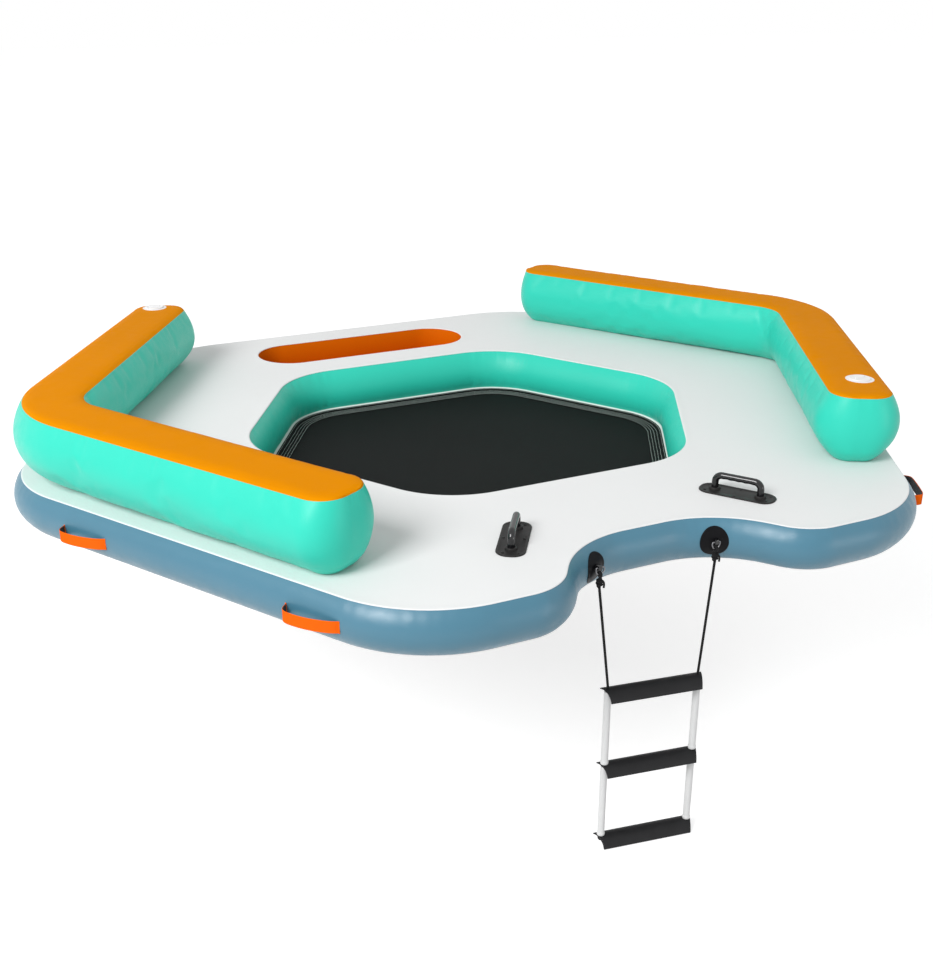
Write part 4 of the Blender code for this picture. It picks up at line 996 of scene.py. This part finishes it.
def ribbon(path, width, low, high):
    """A strap on edge along a level path, with rounded edges; V runs across it, U along."""
    half = width / 2
    thick = high - low
    mid = (low + high) / 2
    section = [(low, -half + 0.3 * thick), (mid, -half), (high, -half + 0.3 * thick)]
    section += [(high, -half + width * k / 8) for k in range(1, 8)]
    section += [(high, half - 0.3 * thick), (mid, half), (low, half - 0.3 * thick)]
    section += [(low, half - width * k / 8) for k in range(1, 8)]
    rows = []
    for index, point in enumerate(path):
        along = (path[min(index + 1, len(path) - 1)] - path[max(index - 1, 0)]).normalized()
        out = Vector((along.y, -along.x, 0.0))
        rows.append([point + out * d + UP * z for d, z in section])
    verts, faces, uvs = lattice(rows, caps=(True, True))
    return verts, faces, [[(v, u) for u, v in face] for face in uvs]


def build_strap(side, place, name):
    """An arch of webbing on the wall between two short tabs, and its lining, which stops short of them."""
    half, tab_step, arch_length, arch_rise = 0.1045, 0.001, 0.197, 0.042
    normal = Vector((side * math.cos(SLOPE), -math.sin(SLOPE), 0.0))
    tangent = Vector((-normal.y, normal.x, 0.0)) * -side
    centre = normal * 1.63285 + tangent * place + UP * 0.070
    path = [centre - tangent * (half - tab_step * k) for k in range(6)]
    shape = STRAP_ARCHES["slack" if side < 0 else "square"]
    arch = [centre + tangent * (arch_length * (a - 0.5)) + normal * (arch_rise * o) for a, o in shape]
    path += smooth_path(arch, 81)
    path += [centre + tangent * (half - tab_step * k) for k in range(5, -1, -1)]
    if side > 0:
        path.reverse()
    strap = ribbon(path, 0.040, 0.0, 0.0016)
    dress(name + "_webbing", strap, orange_webbing, name, "orange_webbing")
    lining = ribbon(path[9:-9], 0.0375, -0.0018, -0.0002)
    dress(name + "_backing", lining, black_webbing, name + "_lining", "black_webbing")


# Ring patches, keepers and rings

wall_bulge = arc_rows(0.0, DECK_TOP, WALL_BULGE, 60)


def wall_out(z):
    return float(np.interp(z, [p[1] for p in wall_bulge], [p[0] for p in wall_bulge]))


def build_patch(side, label):
    """A domed disc that follows the wall, the keeper moulded on it and the ring whose bar it holds."""
    bar = bars[side]
    span = 14
    radius, height = 0.053, 0.074
    points, normals, _ = deck_line
    gaps = np.linalg.norm(points + normals * 0.0512 - np.array((bar.x, bar.y)), axis=1)
    near = int(gaps.argmin())
    reach = [i % len(points) for i in range(near - span, near + span + 1)]
    plan, outwards = points[reach], normals[reach]
    s = np.concatenate([[0.0], np.cumsum(np.linalg.norm(np.diff(plan, axis=0), axis=1))])
    s -= s[span]

    def on_wall(along, z, out):
        flat = np.array([np.interp(along, s, plan[:, i]) for i in (0, 1)])
        face = np.array([np.interp(along, s, outwards[:, i]) for i in (0, 1)])
        face /= np.linalg.norm(face)
        flat = flat + face * (wall_out(z) + out)
        return (flat[0], flat[1], z)

    dome = ((1.0, 0.0004), (1.0, 0.0014), (0.985, 0.0021), (0.955, 0.0025), (0.90, 0.0028),
            (0.86, 0.0025), (0.80, 0.0026), (0.66, 0.0040), (0.50, 0.0053), (0.33, 0.0062),
            (0.16, 0.0067), (0.03, 0.0069))
    sides = 72
    angles = np.arange(sides) * (2 * math.pi / sides)
    rows = [[on_wall(-radius * share * math.cos(a), height + radius * share * math.sin(a), out)
             for a in angles] for share, out in dome]
    outward = Vector((*outwards[span], 0.0))
    disc = facing(lattice(rows, caps=(False, True)), 4 * sides, outward)
    dress(label + "_ring_disc", disc, black_rubber, label + "_ring_patch", "black_rubber")

    sideways = Vector((-outward.y, outward.x, 0.0))
    face = bar - outward * 0.0157
    across = Vector((0.0080, 0.0, 0.0))
    front = bar - Vector((0.0, 0.0060, 0.0))
    root = sideways * 0.0070
    if root.x < 0:
        root = -root
    corners = [front - across, front + across, face + root, face - root]
    line = rounded([(p.x, p.y) for p in corners], [0.0035, 0.0035, 0.001, 0.001], 0.0012)
    rows = [(-0.0016, -0.0075), (-0.0005, -0.0071), (0.0, -0.0060), (0.0, 0.0060), (-0.0005, 0.0071),
            (-0.0016, 0.0075)]
    keeper = lattice([loop_at(line, o, bar.z + z) for o, z in rows], caps=(True, True))
    dress(label + "_ring_saddle", keeper, black_plastic, label + "_ring_keeper", "black_plastic")

    half, corner, drop = 0.0155, 0.0040, 0.024
    straight = half - corner
    places = [(x, 0.0) for x in np.linspace(-straight, straight, 7)]
    bend = [(straight + corner * math.sin(a), corner * (math.cos(a) - 1))
            for a in (math.pi / 2 * k / 6 for k in range(1, 6))]
    places += bend
    places += [(half * math.cos(a), -(corner + (drop - corner) * math.sin(a)))
               for a in (math.pi * k / 32 for k in range(33))]
    places += [(-x, z) for x, z in bend[::-1]]
    path = [bar + Vector((x, 0.0, z)) for x, z in places]
    ring = tube(path, 0.0025, 16, closed=True)
    dress(label + "_ring", ring, steel, label + "_d_ring", "steel", "ladder_hanger")


# Rungs and their spacer tubes

def bored(piece, holes):
    """The piece with round holes cut through it."""
    for verts, faces, _ in holes:
        mesh = bpy.data.meshes.new("bore")
        mesh.from_pydata([tuple(v) for v in verts], [], faces)
        cutter = bpy.data.objects.new("bore", mesh)
        bpy.context.scene.collection.objects.link(cutter)
        step = piece.modifiers.new("bore", "BOOLEAN")
        step.operation = "DIFFERENCE"
        step.solver = "EXACT"
        step.object = cutter
        depsgraph = bpy.context.evaluated_depsgraph_get()
        result = bpy.data.meshes.new_from_object(piece.evaluated_get(depsgraph))
        piece.modifiers.clear()
        piece.data = result
        bpy.data.objects.remove(cutter)
    piece.data.set_sharp_from_angle(angle=math.radians(40))
    return piece


def build_rung(step):
    """A half pipe that leans forward, with slanted, worn ends and a hole for each rope."""
    half_angle, lean, chord, wall = math.radians(55), math.radians(28), 0.068, 0.004
    half_length, slant, hole_radius = 0.186, 0.020, 0.0048
    radius = chord / 2 / math.sin(half_angle)
    angles = np.linspace(-half_angle + lean, half_angle + lean, 33)

    def arc(r, turns):
        return [(r * math.sin(a), r * math.cos(a) - radius) for a in turns]

    outer = arc(radius, angles)
    lips = []
    for a, sign in ((angles[-1], 1), (angles[0], -1)):
        middle = Vector(arc(radius - wall / 2, [a])[0])
        tip = Vector((math.cos(a), -math.sin(a))) * sign
        out = Vector((math.sin(a), math.cos(a)))
        lips.append([tuple(middle + tip * (math.sin(t) * 0.0012) + out * (math.cos(t) * wall / 2) * sign)
                     for t in np.linspace(0.5, math.pi - 0.5, 4)])
    section = outer + lips[0] + arc(radius - wall, angles[::-1]) + lips[1]
    depth = outer[-1][0] - outer[0][0]
    rows = []
    for share, worn in ((-1.0, True), (-1.0, False), (-0.97, False), (-0.6, False), (0.0, False),
                        (0.6, False), (0.97, False), (1.0, False), (1.0, True)):
        row = []
        for x, z in section:
            along = share * (half_length - slant * (x - outer[0][0]) / depth)
            x_in, z_in = (x * 0.985 + 0.0003, z * 0.985 - 0.0004) if worn else (x, z)
            row.append(along_rung * along + rung_front * x_in + UP * z_in + rung_tops[step])
        rows.append(row)
    for row, sign in ((1, 1), (-2, -1)):
        rows[row] = [p + along_rung * (sign * 0.0009) for p in rows[row]]
    part = facing(lattice(rows, caps=(True, True)), 3 * len(section) + 16, UP)
    rung = add("step_%d" % (step + 1), *part, rung_plastic, ladder_bodies[step])
    angles = np.arange(24) * (2 * math.pi / 24)
    drills = []
    for side, _ in SIDES:
        hole = rope_hole(side, step)
        rings = [ring_row(hole_radius, hole.z + z, angles) + (hole.x, hole.y, 0.0) for z in (-0.010, 0.004)]
        drills.append(lattice(rings, caps=(True, True)))
    bored(rung, drills)
    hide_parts("rung_%d" % (step + 1))


def build_spacer(side, label, step):
    """A tube that stands on a rung round the rope, with a collar at its foot."""
    foot = rope_hole(side, step)
    profile = [(0.0138, 0.0003), (0.0141, 0.0010), (0.0141, 0.0092), (0.0138, 0.0100), (0.0128, 0.0112),
               (0.0125, 0.0125), (0.0125, 0.2730), (0.0124, 0.2800), (0.0124, 0.2846), (0.0121, 0.2859),
               (0.0108, 0.2860), (0.0105, 0.2856), (0.0105, 0.0006), (0.0108, 0.0003), (0.0138, 0.0003)]
    pipe = placed(turned(profile, 40), Matrix.Translation(foot))
    dress("%s_pipe_%d" % (label, step), pipe, tube_plastic, "%s_spacer_tube_%d" % (label, step),
          "white_tube", ladder_bodies[step])


for side, label in SIDES:
    build_handle(side, label)
    build_patch(side, label)
    for place, end in ((0.546, "front"), (-0.457, "side")):
        build_strap(side, place, "%s_%s_strap" % (label, end))
    for step in (1, 2):
        build_spacer(side, label, step)
for step in range(3):
    build_rung(step)


# Floor, light and backdrop

WHITE = (1.0, 1.0, 1.0, 1.0)
FLOOR_HEIGHT = -1.032


def seen_straight(n):
    """1 for rays from the camera, off gloss and through clear bodies, for which the backdrop is white."""
    path = n.add("ShaderNodeLightPath")
    seen = n.math("MAXIMUM", path.outputs["Is Camera Ray"], path.outputs["Is Glossy Ray"])
    return n.math("MAXIMUM", seen, path.outputs["Is Transmission Ray"])


def plain_floor():
    n = painted("floor_paper")
    diffuse = n.add("ShaderNodeBsdfDiffuse", Color=(0.62, 0.62, 0.62, 1.0))
    glow = n.add("ShaderNodeEmission", Color=WHITE, Strength=0.66)
    black = n.add("ShaderNodeEmission", Color=(0.0, 0.0, 0.0, 1.0), Strength=0.0)
    lit = n.feed("ShaderNodeMixShader", seen_straight(n), black.outputs[0], glow.outputs[0])
    n.put(n.tree.nodes["Material Output"].inputs["Surface"],
          n.feed("ShaderNodeAddShader", diffuse.outputs[0], lit))
    return n.owner


def lay_floor():
    mesh = bpy.data.meshes.new("floor")
    mesh.from_pydata([(*corner, FLOOR_HEIGHT) for corner in box_corners(60.0, 60.0)], [], [(0, 1, 2, 3)])
    mesh.materials.append(plain_floor())
    floor = bpy.data.objects.new("floor", mesh)
    bpy.context.scene.collection.objects.link(floor)


def light_studio():
    """An even pale surround, a key lamp from the left and a weak low lamp in front."""
    n = Nodes(bpy.data.worlds.new("studio"))
    bpy.context.scene.world = n.owner
    light = n.tree.nodes["Background"]
    n.put(light.inputs["Color"], WHITE)
    n.put(light.inputs["Strength"], 0.55)
    shown = n.add("ShaderNodeBackground", Color=WHITE, Strength=1.0)
    mix = n.feed("ShaderNodeMixShader", seen_straight(n), light.outputs[0], shown.outputs[0])
    n.put(n.tree.nodes["World Output"].inputs["Surface"], mix)
    target = Vector((0.0, 0.0, 0.1))
    for name, place, size, watts in (("key", (-9.4, -5.2, 8.0), 5.6, 1500.0),
                                     ("front", (4.2, -7.0, 0.3), 1.5, 45.0)):
        data = bpy.data.lights.new(name, "AREA")
        data.shape = "SQUARE"
        data.size = size
        data.energy = watts
        lamp = bpy.data.objects.new(name, data)
        lamp.location = place
        lamp.rotation_euler = (target - Vector(place)).to_track_quat("-Z", "Y").to_euler()
        bpy.context.scene.collection.objects.link(lamp)


lay_floor()
light_studio()
bpy.context.view_layer.update()
